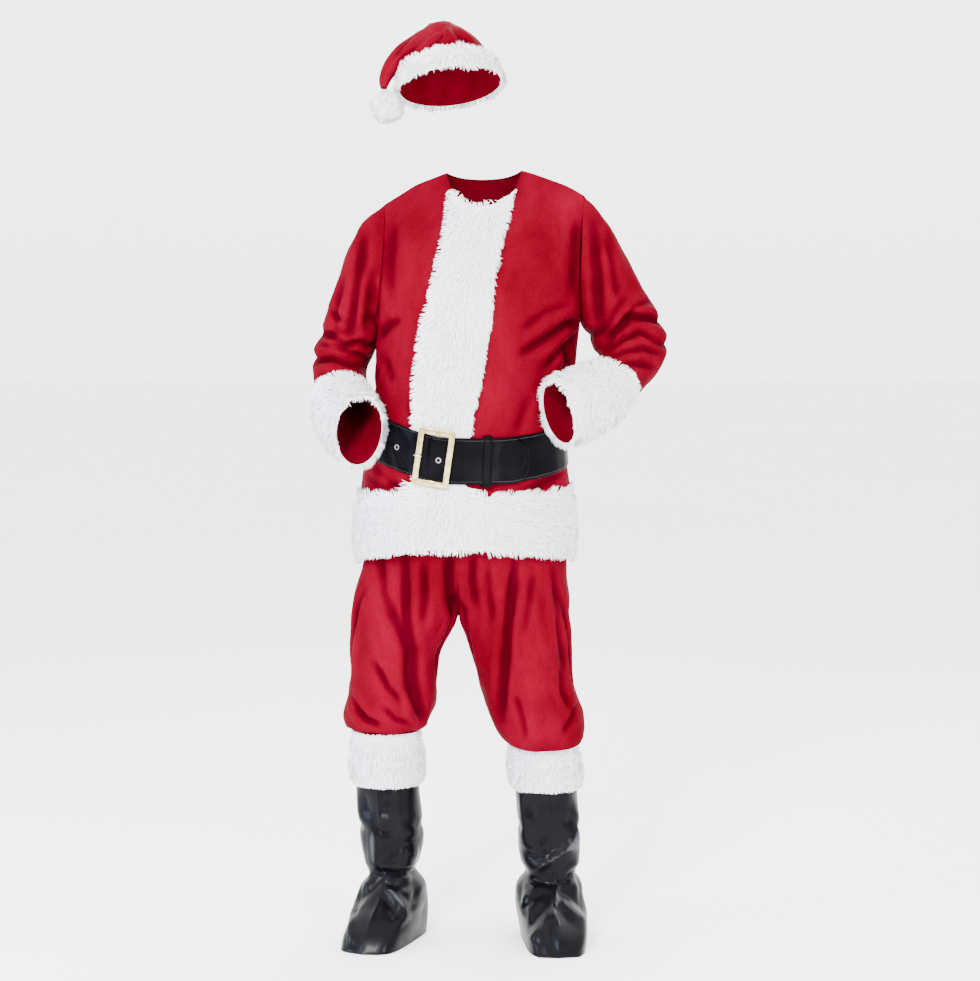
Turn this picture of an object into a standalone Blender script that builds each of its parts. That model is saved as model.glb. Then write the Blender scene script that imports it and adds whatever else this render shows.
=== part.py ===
"""Santa suit in its worn pose: jacket, belt, trousers, boot covers and hat, every cut piece a closed cloth wall.

Metres, +Z up. The front of the suit faces -Y and the wearer's right side is at -X.
Heights in the tables are above the floor; the part's origin is HOLD_POINT, between the shoulders.
"""

import math

import bmesh
import bpy
import numpy as np
from mathutils import Matrix, Vector

# Driving dimensions -------------------------------------------------------------------------------

HOLD_POINT = (0.03, 0.0, 1.43)  # where the shoulders carry the jacket
VELOUR = 0.002  # wall of the velour
VINYL = 0.0016  # wall of the boot covers
STRAP = 0.0025  # thickness of the belt
GAP = 0.0003  # between pieces that are sewn or lie on each other
FUR = 0.012  # pile of the fur bands
FUR_EDGE = 0.35  # share of the pile left at a band's edge
FUR_INNER_BEND = 0.45  # share of the pile left inside the bend of a cuff

FRONT_COLUMNS = 8  # from the opening to the side seam
BACK_COLUMNS = 7  # from the middle of the back to the side seam
PLACKET_COLUMNS = 2  # columns under each half of the fur placket
SHOULDER_COLUMNS = 5  # columns that end on the shoulder seam, the others end on the neckline
ARM_ROWS = 10  # rows between the armpit and the shoulder seam
YOKE_START = 0.40  # share of the armhole's height where the shoulder begins to shape the rows
LEG_COLUMNS = 10  # across one front or back leg panel

# Jacket body: one row for each level, from the hem up to the armpits.
# name, height in front, at the right side, at the left side, x of the opening, x of the right side,
# x of the left side, front depth, back depth, half width of the placket, steps to the next row
BODY = (
    ("hem", 0.788, 0.757, 0.760, -0.060, -0.222, 0.202, 0.160, 0.146, 0.086, 2),
    ("hem_middle", 0.832, 0.817, 0.820, -0.060, -0.222, 0.203, 0.159, 0.146, 0.088, 1),
    ("hem_upper", 0.867, 0.857, 0.862, -0.060, -0.221, 0.202, 0.159, 0.145, 0.083, 1),
    ("hem_top", 0.890, 0.888, 0.896, -0.061, -0.220, 0.200, 0.159, 0.144, 0.064, 1),
    ("skirt", 0.915, 0.916, 0.922, -0.061, -0.217, 0.197, 0.157, 0.142, 0.050, 1),
    ("belt", 0.960, 0.968, 0.962, -0.056, -0.206, 0.192, 0.156, 0.138, 0.050, 1),
    ("belt_top", 1.023, 1.026, 1.020, -0.053, -0.199, 0.194, 0.160, 0.137, 0.053, 2),
    ("belly", 1.075, 1.062, 1.065, -0.047, -0.192, 0.199, 0.166, 0.137, 0.058, 2),
    ("ribs", 1.150, 1.120, 1.130, -0.037, -0.189, 0.206, 0.162, 0.136, 0.064, 2),
    ("armpit", 1.232, 1.187, 1.231, -0.023, -0.187, 0.221, 0.152, 0.135, 0.065, 1),
)
# Middle lines above the armpit level, up to the neckline: x, y, height.
FRONT_LINE = ((-0.012, -0.142, 1.300), (0.006, -0.112, 1.385), (0.020, -0.078, 1.450))
BACK_LINE = ((0.016, 0.137, 1.310), (0.022, 0.118, 1.420), (0.028, 0.066, 1.512))
# side: x, y, height of the armpit, the tip of the shoulder and the neck's side,
# and how far the armhole bows towards the middle, and towards the front and back
ARMHOLE = {
    "right": ((-0.187, 0.004, 1.187), (-0.169, 0.010, 1.462), (-0.046, 0.004, 1.524), 0.004, 0.066),
    "left": ((0.221, 0.004, 1.231), (0.226, 0.010, 1.479), (0.102, 0.004, 1.528), 0.004, 0.066),
}
PLACKET_NECK_HALF = 0.045  # half width of the placket at the neckline

# Sleeves: level, the point on the inner side, the point on the outer side, half depth, steps.
# The rings of the last levels carry the fur cuff.
SLEEVES = {
    "right": (
        ("cap", (-0.1895, 0.004, 1.176), (-0.206, 0.014, 1.440), 0.086, 1),
        ("upper", (-0.196, 0.008, 1.162), (-0.234, 0.016, 1.388), 0.080, 2),
        ("middle", (-0.203, 0.014, 1.150), (-0.256, 0.022, 1.326), 0.072, 2),
        ("bend", (-0.2065, 0.014, 1.138), (-0.281, 0.034, 1.256), 0.066, 2),
        ("elbow", (-0.2065, 0.004, 1.126), (-0.308, 0.034, 1.176), 0.062, 2),
        ("forearm", (-0.204, -0.020, 1.114), (-0.309, 0.012, 1.106), 0.058, 1),
        ("cuff", (-0.207, -0.052, 1.106), (-0.298, -0.038, 1.050), 0.055, 1),
        ("cuff_upper", (-0.209, -0.086, 1.099), (-0.283, -0.088, 1.005), 0.053, 1),
        ("cuff_lower", (-0.207, -0.116, 1.092), (-0.254, -0.128, 0.974), 0.052, 1),
        ("opening", (-0.203, -0.145, 1.087), (-0.222, -0.162, 0.954), 0.051, 1),
    ),
    "left": (
        ("cap", (0.2245, 0.004, 1.219), (0.266, 0.014, 1.441), 0.082, 1),
        ("upper", (0.234, 0.008, 1.202), (0.296, 0.016, 1.386), 0.077, 2),
        ("middle", (0.244, 0.010, 1.186), (0.335, 0.020, 1.319), 0.071, 2),
        ("bend", (0.254, 0.006, 1.172), (0.372, 0.016, 1.250), 0.066, 2),
        ("elbow", (0.257, -0.012, 1.160), (0.394, -0.004, 1.186), 0.063, 2),
        ("forearm", (0.251, -0.046, 1.152), (0.372, -0.040, 1.130), 0.060, 1),
        ("cuff", (0.232, -0.088, 1.140), (0.318, -0.088, 1.072), 0.058, 1),
        ("cuff_upper", (0.209, -0.118, 1.132), (0.283, -0.120, 1.040), 0.058, 1),
        ("cuff_lower", (0.184, -0.143, 1.124), (0.237, -0.146, 1.012), 0.058, 1),
        ("opening", (0.158, -0.164, 1.116), (0.190, -0.168, 0.996), 0.058, 1),
    ),
}
CUFF_LEVELS = 4  # the levels at the end of a sleeve that lie under the fur cuff

# Trousers, seat: height in the middle, at the sides, x of the middle seam, of the right side,
# of the left side, front depth, back depth, share of the seat's curve against the leg's, steps
SEAT = (
    ("crotch", 0.641, 0.641, -0.023, -0.238, 0.200, 0.118, 0.118, 0.00, 2),
    ("fork", 0.690, 0.690, -0.024, -0.233, 0.198, 0.126, 0.128, 0.60, 1),
    ("hip", 0.740, 0.735, -0.025, -0.218, 0.194, 0.134, 0.134, 1.00, 1),
    ("seat", 0.810, 0.800, -0.024, -0.204, 0.187, 0.140, 0.1374, 1.00, 1),
    ("high_hip", 0.900, 0.890, -0.020, -0.192, 0.174, 0.134, 0.124, 1.00, 1),
    ("waist", 0.985, 0.985, -0.014, -0.170, 0.152, 0.120, 0.108, 1.00, 1),
)
WAISTBAND_HEIGHT = 0.032
# Legs from the hem inside the boot top up to the thigh: height on the inner side, on the outer side,
# x of the inner side, x of the outer side, y of the leg's middle, front depth, back depth,
# how much lower the cloth hangs in front, steps
LEGS = {
    "right": (
        ("hem", 0.376, 0.376, -0.1057, -0.2307, 0.000, 0.0625, 0.0625, 0.000, 1),
        ("return", 0.4115, 0.4115, -0.1075, -0.2295, 0.000, 0.061, 0.061, 0.000, 1),
        ("under", 0.4150, 0.4150, -0.1010, -0.2360, 0.000, 0.069, 0.069, 0.000, 1),
        ("fold", 0.4185, 0.4160, -0.0860, -0.2480, 0.000, 0.084, 0.082, 0.004, 1),
        ("bulge", 0.448, 0.446, -0.0750, -0.2570, 0.000, 0.098, 0.092, 0.002, 1),
        ("low", 0.485, 0.479, -0.0670, -0.2440, 0.000, 0.098, 0.092, 0.000, 2),
        ("knee", 0.556, 0.552, -0.0650, -0.2405, 0.000, 0.100, 0.095, 0.000, 2),
        ("thigh", 0.596, 0.594, -0.0480, -0.2395, 0.000, 0.109, 0.106, 0.000, 2),
    ),
    "left": (
        ("hem", 0.345, 0.345, 0.0865, 0.2115, 0.000, 0.0625, 0.0625, 0.000, 1),
        ("return", 0.3865, 0.3865, 0.0865, 0.2085, 0.000, 0.061, 0.061, 0.000, 1),
        ("under", 0.3905, 0.3905, 0.0760, 0.2190, 0.000, 0.073, 0.070, 0.000, 1),
        ("fold", 0.3945, 0.3925, 0.0620, 0.2300, 0.000, 0.097, 0.084, 0.024, 1),
        ("bulge", 0.432, 0.432, 0.0420, 0.2330, 0.000, 0.106, 0.096, 0.010, 1),
        ("low", 0.480, 0.474, 0.0265, 0.2160, 0.000, 0.104, 0.096, 0.000, 2),
        ("knee", 0.530, 0.530, 0.0120, 0.2050, 0.000, 0.105, 0.098, 0.000, 2),
        ("thigh", 0.592, 0.592, -0.0040, 0.2025, 0.000, 0.112, 0.108, 0.000, 2),
    ),
}

# Boot covers: height, x of the shaft's middle, y, half width, reach to the toe, reach to the heel, steps
BOOTS = {
    "right": (
        ("top", 0.409, -0.1685, 0.000, 0.066, 0.066, 0.066, 1),
        ("fur_middle", 0.368, -0.1680, 0.000, 0.066, 0.066, 0.066, 1),
        ("fur_lower", 0.330, -0.1670, 0.000, 0.0655, 0.066, 0.066, 1),
        ("fur_end", 0.305, -0.1665, 0.000, 0.065, 0.066, 0.066, 1),
        ("shaft", 0.255, -0.1615, 0.000, 0.066, 0.068, 0.068, 1),
        ("calf", 0.178, -0.1540, 0.002, 0.066, 0.074, 0.068, 1),
        ("ankle", 0.127, -0.1535, 0.004, 0.0435, 0.066, 0.062, 1),
        ("instep", 0.092, -0.1500, 0.004, 0.064, 0.098, 0.070, 1),
        ("vamp", 0.062, -0.1505, 0.002, 0.067, 0.146, 0.072, 1),
        ("toe", 0.030, -0.1520, 0.000, 0.068, 0.180, 0.072, 1),
        ("sole", 0.000, -0.1540, 0.000, 0.066, 0.194, 0.072, 1),
    ),
    "left": (
        ("top", 0.384, 0.1475, 0.000, 0.066, 0.066, 0.066, 1),
        ("fur_middle", 0.345, 0.1490, 0.000, 0.066, 0.066, 0.066, 1),
        ("fur_lower", 0.318, 0.1515, 0.000, 0.065, 0.066, 0.066, 1),
        ("fur_end", 0.296, 0.1535, 0.000, 0.064, 0.066, 0.066, 1),
        ("shaft", 0.235, 0.1570, 0.000, 0.063, 0.068, 0.068, 1),
        ("calf", 0.172, 0.1590, 0.002, 0.066, 0.075, 0.068, 1),
        ("ankle", 0.120, 0.1610, 0.004, 0.0545, 0.070, 0.062, 1),
        ("instep", 0.088, 0.1570, 0.004, 0.069, 0.104, 0.070, 1),
        ("vamp", 0.060, 0.1620, 0.002, 0.073, 0.150, 0.072, 1),
        ("toe", 0.030, 0.1630, 0.000, 0.070, 0.196, 0.076, 1),
        ("sole", 0.000, 0.1630, 0.000, 0.063, 0.213, 0.074, 1),
    ),
}
BOOT_COLUMNS = 8  # across one panel, from the front seam to the back seam
BOOT_FUR_LEVELS = 3  # steps at the top of a boot cover that lie under its fur
TOE_OUT = {"right": 17.0, "left": 3.0}  # degrees
TOE_TAPER = 0.09  # how much narrower the toe is than the middle of the foot
TOE_BLUNT = 2.0  # how much squarer the toe is than an oval

# Hat: level, the point on the low side, the point on the high side, half depth, steps
HAT = (
    ("band", (-0.140, -0.006, 1.681), (0.064, -0.006, 1.706), 0.102, 2),
    ("band_top", (-0.139, 0.003, 1.705), (0.053, 0.003, 1.735), 0.099, 1),
    ("side", (-0.137, 0.012, 1.719), (0.030, 0.018, 1.772), 0.090, 1),
    ("crown", (-0.130, 0.021, 1.731), (-0.002, 0.030, 1.803), 0.079, 1),
    ("top", (-0.125, 0.022, 1.737), (-0.050, 0.032, 1.822), 0.066, 1),
    ("turn", (-0.127, 0.015, 1.734), (-0.104, 0.022, 1.803), 0.053, 1),
    ("fall", (-0.136, 0.002, 1.725), (-0.147, 0.006, 1.774), 0.041, 1),
    ("tail", (-0.149, -0.012, 1.713), (-0.173, -0.010, 1.738), 0.029, 1),
    ("tip", (-0.159, -0.022, 1.696), (-0.181, -0.022, 1.706), 0.018, 1),
    ("end", (-0.163, -0.027, 1.684), (-0.174, -0.029, 1.686), 0.009, 1),
)
HAT_COLUMNS = 20
HAT_BAND_STEPS = 2
POMPOM_CENTRE = (-0.163, -0.030, 1.6512)
POMPOM_RADIUS = 0.033
POMPOM_TUFT = 0.005

# Belt: place round the body in quarters (0 the opening, 1 the wearer's left side, 2 the back,
# 3 the right side, 4 the opening again), height of the strap's middle, distance from the cloth
BELT = (
    (0.0625, 0.962, 0.0047),
    (0.25, 0.961, 0.0047),
    (0.3125, 0.960, 0.0028),
    (0.375, 0.960, 0.0028),
    (0.4375, 0.961, 0.0013),
    (0.55, 0.965, 0.0013),
    (1.00, 0.992, 0.0013),
    (2.00, 1.002, 0.0013),
    (3.00, 1.008, 0.0013),
    (3.40, 1.000, 0.0013),
    (3.6875, 0.981, 0.0016),
    (3.75, 0.976, 0.0047),
    (3.875, 0.969, 0.0050),
    (3.9375, 0.965, 0.0082),
    (4.0625, 0.961, 0.0082),
    (4.25, 0.960, 0.0082),
    (4.3125, 0.960, 0.0062),
    (4.375, 0.960, 0.0062),
    (4.4375, 0.960, 0.0048),
    (4.55, 0.960, 0.0048),
)
BELT_WIDTH = 0.090
BELT_TIP = 0.10  # quarters over which the free end is rounded
BELT_LEVELS = (-1.0, -0.5, 0.0, 0.5, 1.0)  # rows of the strap, in half widths
FUR_UNDER_BELT = 0.0035
FUR_REST_BELOW = 0.905  # heights between which the belt presses the placket's pile flat
FUR_REST_ABOVE = 1.030

BUCKLE_WIDTH = 0.072
BUCKLE_HEIGHT = 0.112
BUCKLE_BAR = 0.011
BUCKLE_THICKNESS = 0.004
BUCKLE_CENTRE = (-0.069, -0.1723, 0.968)
BUCKLE_TURN = 9.0  # degrees towards the wearer's right
BUCKLE_LEAN = 4.0  # degrees that its face looks down
BUCKLE_ROLL = 9.0  # degrees that its left end hangs lower
PRONG_LENGTH = 0.017
PRONG_RADIUS = 0.0026
EYELET_PLACES = (3.985, 3.60)  # quarters round the body
EYELET_RADIUS = 0.0045
EYELET_WIRE = 0.0011
KEEPER_PLACES = (4.3175, 4.3550)
KEEPER_MARGIN = 0.004  # how far it stands past the strap's edges
KEEPER_PLAY = 0.0010
KEEPER_WALL = 0.0012

# Folds: x, height of one end, x, height of the other end, width, depth. A fold with a negative
# depth stands out. "front" folds shape the cloth whose outside faces -Y, "back" folds the other.
BODY_FOLDS = (
    ("front", 0.214, 1.228, 0.105, 1.168, 0.020, 0.0060),
    ("front", 0.212, 1.205, 0.150, 1.105, 0.018, 0.0050),
    ("front", -0.176, 1.200, -0.120, 1.240, 0.018, 0.0040),
    ("front", -0.150, 1.420, -0.148, 1.270, 0.022, 0.0050),
    ("front", 0.205, 1.420, 0.196, 1.290, 0.020, 0.0045),
    ("front", -0.200, 0.925, -0.100, 0.905, 0.018, 0.0050),
    ("front", 0.185, 1.060, 0.060, 1.020, 0.022, 0.0040),
    ("back", -0.150, 1.400, -0.110, 1.240, 0.026, 0.0050),
    ("back", 0.190, 1.410, 0.150, 1.260, 0.026, 0.0050),
    ("back", -0.140, 1.100, 0.000, 1.030, 0.026, 0.0050),
    ("back", 0.160, 1.110, 0.040, 1.040, 0.026, 0.0050),
    ("back", 0.020, 0.900, 0.010, 0.780, 0.030, 0.0050),
)
TROUSER_FOLDS = (
    ("front", 0.098, 0.745, 0.062, 0.480, 0.016, 0.0075),
    ("front", 0.014, 0.745, 0.022, 0.655, 0.016, 0.0060),
    ("front", -0.038, 0.745, -0.030, 0.650, 0.012, 0.0070),
    ("front", -0.180, 0.700, -0.115, 0.560, 0.016, 0.0060),
    ("front", -0.152, 0.745, -0.100, 0.580, 0.016, 0.0060),
    ("front", -0.118, 0.520, -0.085, 0.440, 0.014, 0.0080),
    ("front", -0.215, 0.480, -0.175, 0.430, 0.014, 0.0060),
    ("front", 0.190, 0.520, 0.160, 0.430, 0.018, 0.0050),
    ("front", 0.140, 0.700, 0.150, 0.520, 0.020, -0.0050),
    ("back", -0.130, 0.740, -0.080, 0.640, 0.020, 0.0070),
    ("back", 0.100, 0.740, 0.050, 0.640, 0.020, 0.0070),
    ("back", -0.200, 0.640, -0.110, 0.520, 0.020, 0.0060),
    ("back", 0.170, 0.640, 0.080, 0.520, 0.020, 0.0060),
    ("back", -0.150, 0.500, -0.100, 0.450, 0.016, 0.0060),
    ("back", 0.130, 0.490, 0.180, 0.440, 0.016, 0.0060),
)
SLEEVE_FOLDS = (
    ("front", -0.296, 1.215, -0.226, 1.180, 0.012, 0.0060),
    ("front", -0.300, 1.178, -0.232, 1.160, 0.011, 0.0055),
    ("front", -0.250, 1.330, -0.262, 1.225, 0.014, 0.0060),
    ("front", -0.218, 1.380, -0.232, 1.235, 0.013, 0.0050),
    ("front", -0.300, 1.135, -0.240, 1.125, 0.010, 0.0045),
    ("front", 0.266, 1.170, 0.338, 1.252, 0.012, 0.0065),
    ("front", 0.270, 1.150, 0.365, 1.215, 0.011, 0.0060),
    ("front", 0.278, 1.130, 0.372, 1.172, 0.011, 0.0050),
    ("front", 0.248, 1.380, 0.256, 1.230, 0.014, 0.0060),
    ("back", -0.240, 1.320, -0.285, 1.200, 0.016, 0.0060),
    ("back", -0.230, 1.170, -0.290, 1.160, 0.014, 0.0050),
    ("back", 0.270, 1.330, 0.350, 1.210, 0.016, 0.0060),
    ("back", 0.280, 1.170, 0.360, 1.200, 0.014, 0.0050),
)
BOOT_FOLDS = (
    ("front", -0.222, 0.222, -0.180, 0.212, 0.010, 0.0060),
    ("front", -0.190, 0.145, -0.105, 0.165, 0.012, 0.0070),
    ("front", -0.195, 0.108, -0.120, 0.122, 0.010, 0.0070),
    ("front", -0.178, 0.098, -0.125, 0.060, 0.012, 0.0060),
    ("front", 0.108, 0.160, 0.205, 0.178, 0.012, 0.0060),
    ("front", 0.120, 0.128, 0.215, 0.150, 0.012, 0.0060),
    ("front", 0.108, 0.062, 0.160, 0.098, 0.012, 0.0060),
    ("front", 0.180, 0.090, 0.222, 0.060, 0.012, 0.0050),
    ("back", -0.200, 0.135, -0.110, 0.140, 0.014, 0.0060),
    ("back", 0.110, 0.130, 0.210, 0.140, 0.014, 0.0060),
)
HAT_FOLDS = (
    ("front", -0.060, 1.812, -0.075, 1.745, 0.012, 0.0060),
    ("front", -0.130, 1.785, -0.168, 1.705, 0.010, 0.0040),
    ("front", -0.020, 1.785, 0.010, 1.755, 0.012, 0.0040),
    ("back", -0.050, 1.800, -0.040, 1.730, 0.014, 0.0050),
    ("back", -0.120, 1.780, -0.160, 1.710, 0.012, 0.0040),
)

# Finishes: red, green, blue, roughness, metallic
FINISHES = {
    "red_velour": (0.58, 0.004, 0.026, 0.75, 0.0),
    "white_fur": (0.90, 0.90, 0.93, 0.90, 0.0),
    "black_vinyl": (0.022, 0.021, 0.026, 0.30, 0.0),
    "pale_gold": (0.83, 0.72, 0.42, 0.30, 1.0),
    "silver": (0.78, 0.78, 0.80, 0.30, 1.0),
}


# Curves and grids ---------------------------------------------------------------------------------


def spline(rows, steps):
    """A smooth curve through the rows, with the given number of steps from each row to the next."""
    rows = np.asarray(rows, float)
    ends = np.vstack([2 * rows[0] - rows[1], rows, 2 * rows[-1] - rows[-2]])
    points = []
    for i in range(len(rows) - 1):
        a, b, c, d = ends[i : i + 4]
        for k in range(steps[i]):
            t = k / steps[i]
            bend = (2 * a - 5 * b + 4 * c - d) * t * t + (3 * b - a - 3 * c + d) * t**3
            points.append(0.5 * (2 * b + (c - a) * t + bend))
    points.append(rows[-1])
    return np.array(points)


def smooth(t):
    """0 before 0, 1 after 1, with a soft start and end."""
    t = min(max(t, 0.0), 1.0)
    return t * t * (3 - 2 * t)


def unit(v):
    return v / np.linalg.norm(v)


def mix(a, b, t):
    return np.asarray(a, float) * (1 - t) + np.asarray(b, float) * t


def cell_corners(shape, closed):
    """Row and column pairs of each cell's corners, in the order that every skin's faces use."""
    rows, columns = shape[:2]
    for r in range(rows - 1):
        for c in range(columns if closed else columns - 1):
            d = (c + 1) % columns
            yield (r, c), (r, d), (r + 1, d), (r + 1, c)


def sewn_normals(grids):
    """Outward normals of grids that share their seam points, each grid a pair of points and closed."""
    total = {}
    for points, closed in grids:
        for corners in cell_corners(points.shape, closed):
            a, b, c, d = (points[k] for k in corners)
            lean = np.cross(c - a, d - b)
            for k in corners:
                key = tuple(np.round(points[k], 6))
                total[key] = total.get(key, 0) + lean
    normals = []
    for points, _closed in grids:
        found = np.zeros_like(points)
        for k in np.ndindex(points.shape[:2]):
            found[k] = unit(total[tuple(np.round(points[k], 6))])
        normals.append(found)
    return normals


def fold_cloth(grids, folds):
    """Moves the points of sewn grids along their normals into the folds' troughs and ridges."""
    normals = sewn_normals(grids)
    moved = []
    for (points, closed), normal in zip(grids, normals):
        result = points.copy()
        for k in np.ndindex(points.shape[:2]):
            p = points[k]
            n = normal[k]
            depth = 0.0
            for face, x0, z0, x1, z1, width, trough in folds:
                facing = -n[1] if face == "front" else n[1]
                if facing <= 0:
                    continue
                run = np.array([x1 - x0, z1 - z0])
                start = np.array([p[0] - x0, p[2] - z0])
                along = min(max(start @ run / (run @ run), 0.0), 1.0)
                away = np.linalg.norm(start - along * run) / width
                depth += trough * math.exp(-away * away) * min(1.0, 2 * facing)
            result[k] = p - n * depth
        moved.append((result, closed))
    return moved


def seam_edge(points, normals, edge):
    """Draws one edge of a panel back from its seam by half the gap between sewn pieces."""
    rows, columns = points.shape[:2]
    lines = {
        "bottom": [((0, c), (1, c)) for c in range(columns)],
        "top": [((rows - 1, c), (rows - 2, c)) for c in range(columns)],
        "start": [((r, 0), (r, 1)) for r in range(rows)],
        "end": [((r, columns - 1), (r, columns - 2)) for r in range(rows)],
    }[edge]
    pulled = points.copy()
    for i, (k, inner) in enumerate(lines):
        before = points[lines[max(i - 1, 0)][0]]
        after = points[lines[min(i + 1, len(lines) - 1)][0]]
        across = unit(np.cross(normals[k], after - before))
        if across @ (points[inner] - points[k]) < 0:
            across = -across
        pulled[k] = points[k] + across * GAP / 2
    return pulled


# Solids -------------------------------------------------------------------------------------------


def finish(name):
    """The material of one of the suit's finishes."""
    if name in bpy.data.materials:
        return bpy.data.materials[name]
    red, green, blue, roughness, metallic = FINISHES[name]
    made = bpy.data.materials.new(name)
    made.use_nodes = True
    shader = made.node_tree.nodes["Principled BSDF"]
    shader.inputs["Base Color"].default_value = (red, green, blue, 1.0)
    shader.inputs["Roughness"].default_value = roughness
    shader.inputs["Metallic"].default_value = metallic
    return made


def place(made, collection, holder, material):
    """Puts an object in the suit's collection, under the empty that stands on the floor."""
    for old in list(made.users_collection):
        old.objects.unlink(made)
    collection.objects.link(made)
    made.parent = holder
    made.data.materials.clear()
    made.data.materials.append(finish(material))


def solid(name, outer, inner, closed, suit, material):
    """A closed body between two grids of points: a cloth wall or a fur band."""
    shape = outer.shape[:2]
    bm = bmesh.new()
    skins = []
    for grid in (outer, inner):
        skins.append([[bm.verts.new(p) for p in row] for row in grid])
    for corners in cell_corners(shape, closed):
        for side, skin in enumerate(skins):
            a, b, c, d = (skin[r][k] for r, k in corners)
            for face in ((a, b, c), (a, c, d)):
                bm.faces.new(face if side == 0 else face[::-1])
    rims = []
    count = shape[1]
    for r in (0, shape[0] - 1):
        for c in range(count if closed else count - 1):
            rims.append(((r, c), (r, (c + 1) % count)))
    if not closed:
        for c in (0, count - 1):
            rims += [((r, c), (r + 1, c)) for r in range(shape[0] - 1)]
    top, bottom = skins
    for (r0, c0), (r1, c1) in rims:
        bm.faces.new((top[r0][c0], bottom[r0][c0], bottom[r1][c1], top[r1][c1]))
    bmesh.ops.recalc_face_normals(bm, faces=bm.faces)
    mesh = bpy.data.meshes.new(name)
    bm.to_mesh(mesh)
    bm.free()
    mesh.shade_smooth()
    mesh.set_sharp_from_angle(angle=math.radians(50))
    made = bpy.data.objects.new(name, mesh)
    place(made, *suit, material)
    return made


def wall(name, points, normals, closed, seams, thickness, suit, material):
    """A cloth panel: the outer skin, and the same skin moved in by the cloth's thickness."""
    for edge in seams:
        points = seam_edge(points, normals, edge)
    return solid(name, points, points - normals * thickness, closed, suit, material)


def fur_band(name, points, normals, pile, closed, suit):
    """A strip of fur on a panel, made from the panel's points; pile is its height at each point."""
    base = points + normals * GAP
    return solid(name, base + normals * pile[..., None], base, closed, suit, "white_fur")


def band_pile(shape, height, bend=None):
    """Pile heights of a strip, full in the middle and lower at both edges."""
    rows, columns = shape[:2]
    pile = np.full((rows, columns), height)
    for r in (0, rows - 1):
        pile[r] *= FUR_EDGE
    if bend is not None:
        pile *= bend
    return pile


# Jacket -------------------------------------------------------------------------------------------


def body_rows():
    """The levels of the jacket's body up to the armpits, smoothed, as rows of numbers."""
    return spline([row[1:10] for row in BODY], [row[10] for row in BODY])


def placket_angle(half, reach):
    return math.asin(min(half / abs(reach), 0.95))


def quarter(middle, side, angles):
    """Points from a middle line round to a side, with the depth falling off as on an ellipse."""
    points = []
    for angle in angles:
        s, c = math.sin(angle), math.cos(angle)
        x = middle[0] + (side[0] - middle[0]) * s
        y = side[1] + (middle[1] - side[1]) * c
        z = middle[2] + (side[2] - middle[2]) * (1 - c)
        points.append((x, y, z))
    return np.array(points)


def front_angles(half, reach):
    """Angles of a front panel's columns: the first lie under the placket."""
    edge = placket_angle(half, reach)
    under = [edge * k / PLACKET_COLUMNS for k in range(PLACKET_COLUMNS)]
    rest = FRONT_COLUMNS - PLACKET_COLUMNS
    return under + [edge + (math.pi / 2 - edge) * k / rest for k in range(rest + 1)]


def back_angles():
    return [math.pi / 2 * k / BACK_COLUMNS for k in range(BACK_COLUMNS + 1)]


def armhole_point(side, face, t):
    """A point on the armhole's front or back edge, t from the armpit to the tip of the shoulder."""
    armpit, tip, _neck, inward, bow = ARMHOLE[side]
    point = mix(armpit, tip, t)
    swell = math.sin(math.pi * t)
    point[0] += inward * swell * (1 if side == "right" else -1)
    point[1] += bow * swell * (-1 if face == "front" else 1)
    return point


def top_edge(side, face, columns):
    """The upper edge of a panel: its half of the neckline, then the shoulder seam."""
    _armpit, tip, neck, _inward, _bow = ARMHOLE[side]
    middle = (FRONT_LINE if face == "front" else BACK_LINE)[-1]
    open_columns = columns - SHOULDER_COLUMNS
    angles = [math.pi / 2 * k / open_columns for k in range(open_columns)]
    points = list(quarter(middle, neck, angles))
    for k in range(SHOULDER_COLUMNS + 1):
        point = mix(neck, tip, k / SHOULDER_COLUMNS)
        point[2] += 0.006 * math.sin(math.pi * k / SHOULDER_COLUMNS)
        points.append(point)
    return np.array(points)


def half_panel(side, face):
    """One half of the jacket's front or back, rows from the hem to the shoulder seam."""
    front = face == "front"
    columns = FRONT_COLUMNS if front else BACK_COLUMNS
    grid = []
    rows = body_rows()
    for z_mid, z_right, z_left, opening, x_right, x_left, deep, back, half in rows:
        x_side, z_side = (x_right, z_right) if side == "right" else (x_left, z_left)
        centre = (x_right + x_left) / 2
        if front:
            middle = (opening, -deep, z_mid)
            angles = front_angles(half, x_side - opening)
        else:
            middle = (centre + (centre - opening) / 2, back, (z_right + z_left) / 2)
            angles = back_angles()
        grid.append(quarter(middle, (x_side, 0.004, z_side), angles))
    start = grid[-1][0]
    line = spline([start, *(FRONT_LINE if front else BACK_LINE)], (4, 3, 3))
    top = top_edge(side, face, columns)
    for r in range(1, ARM_ROWS + 1):
        t = r / ARM_ROWS
        edge = armhole_point(side, face, t)
        middle = line[r]
        if front:
            half = rows[-1][8] * (1 - t) + PLACKET_NECK_HALF * t
            angles = front_angles(half, edge[0] - middle[0])
        else:
            angles = back_angles()
        row = quarter(middle, edge, angles)
        share = smooth((t - YOKE_START) / (1 - YOKE_START))
        grid.append(mix(row, top, share))
    return np.array(grid)


def sleeve_rings(side, armhole):
    """Rings of a sleeve: the armhole's own points, then ovals between inner and outer points."""
    levels = SLEEVES[side]
    numbers = [(*level[1], *level[2], level[3]) for level in levels]
    rows = spline(numbers, [level[4] for level in levels])
    return np.array([armhole, *ovals(rows, 2 * ARM_ROWS, 1 if side == "left" else -1)])


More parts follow.
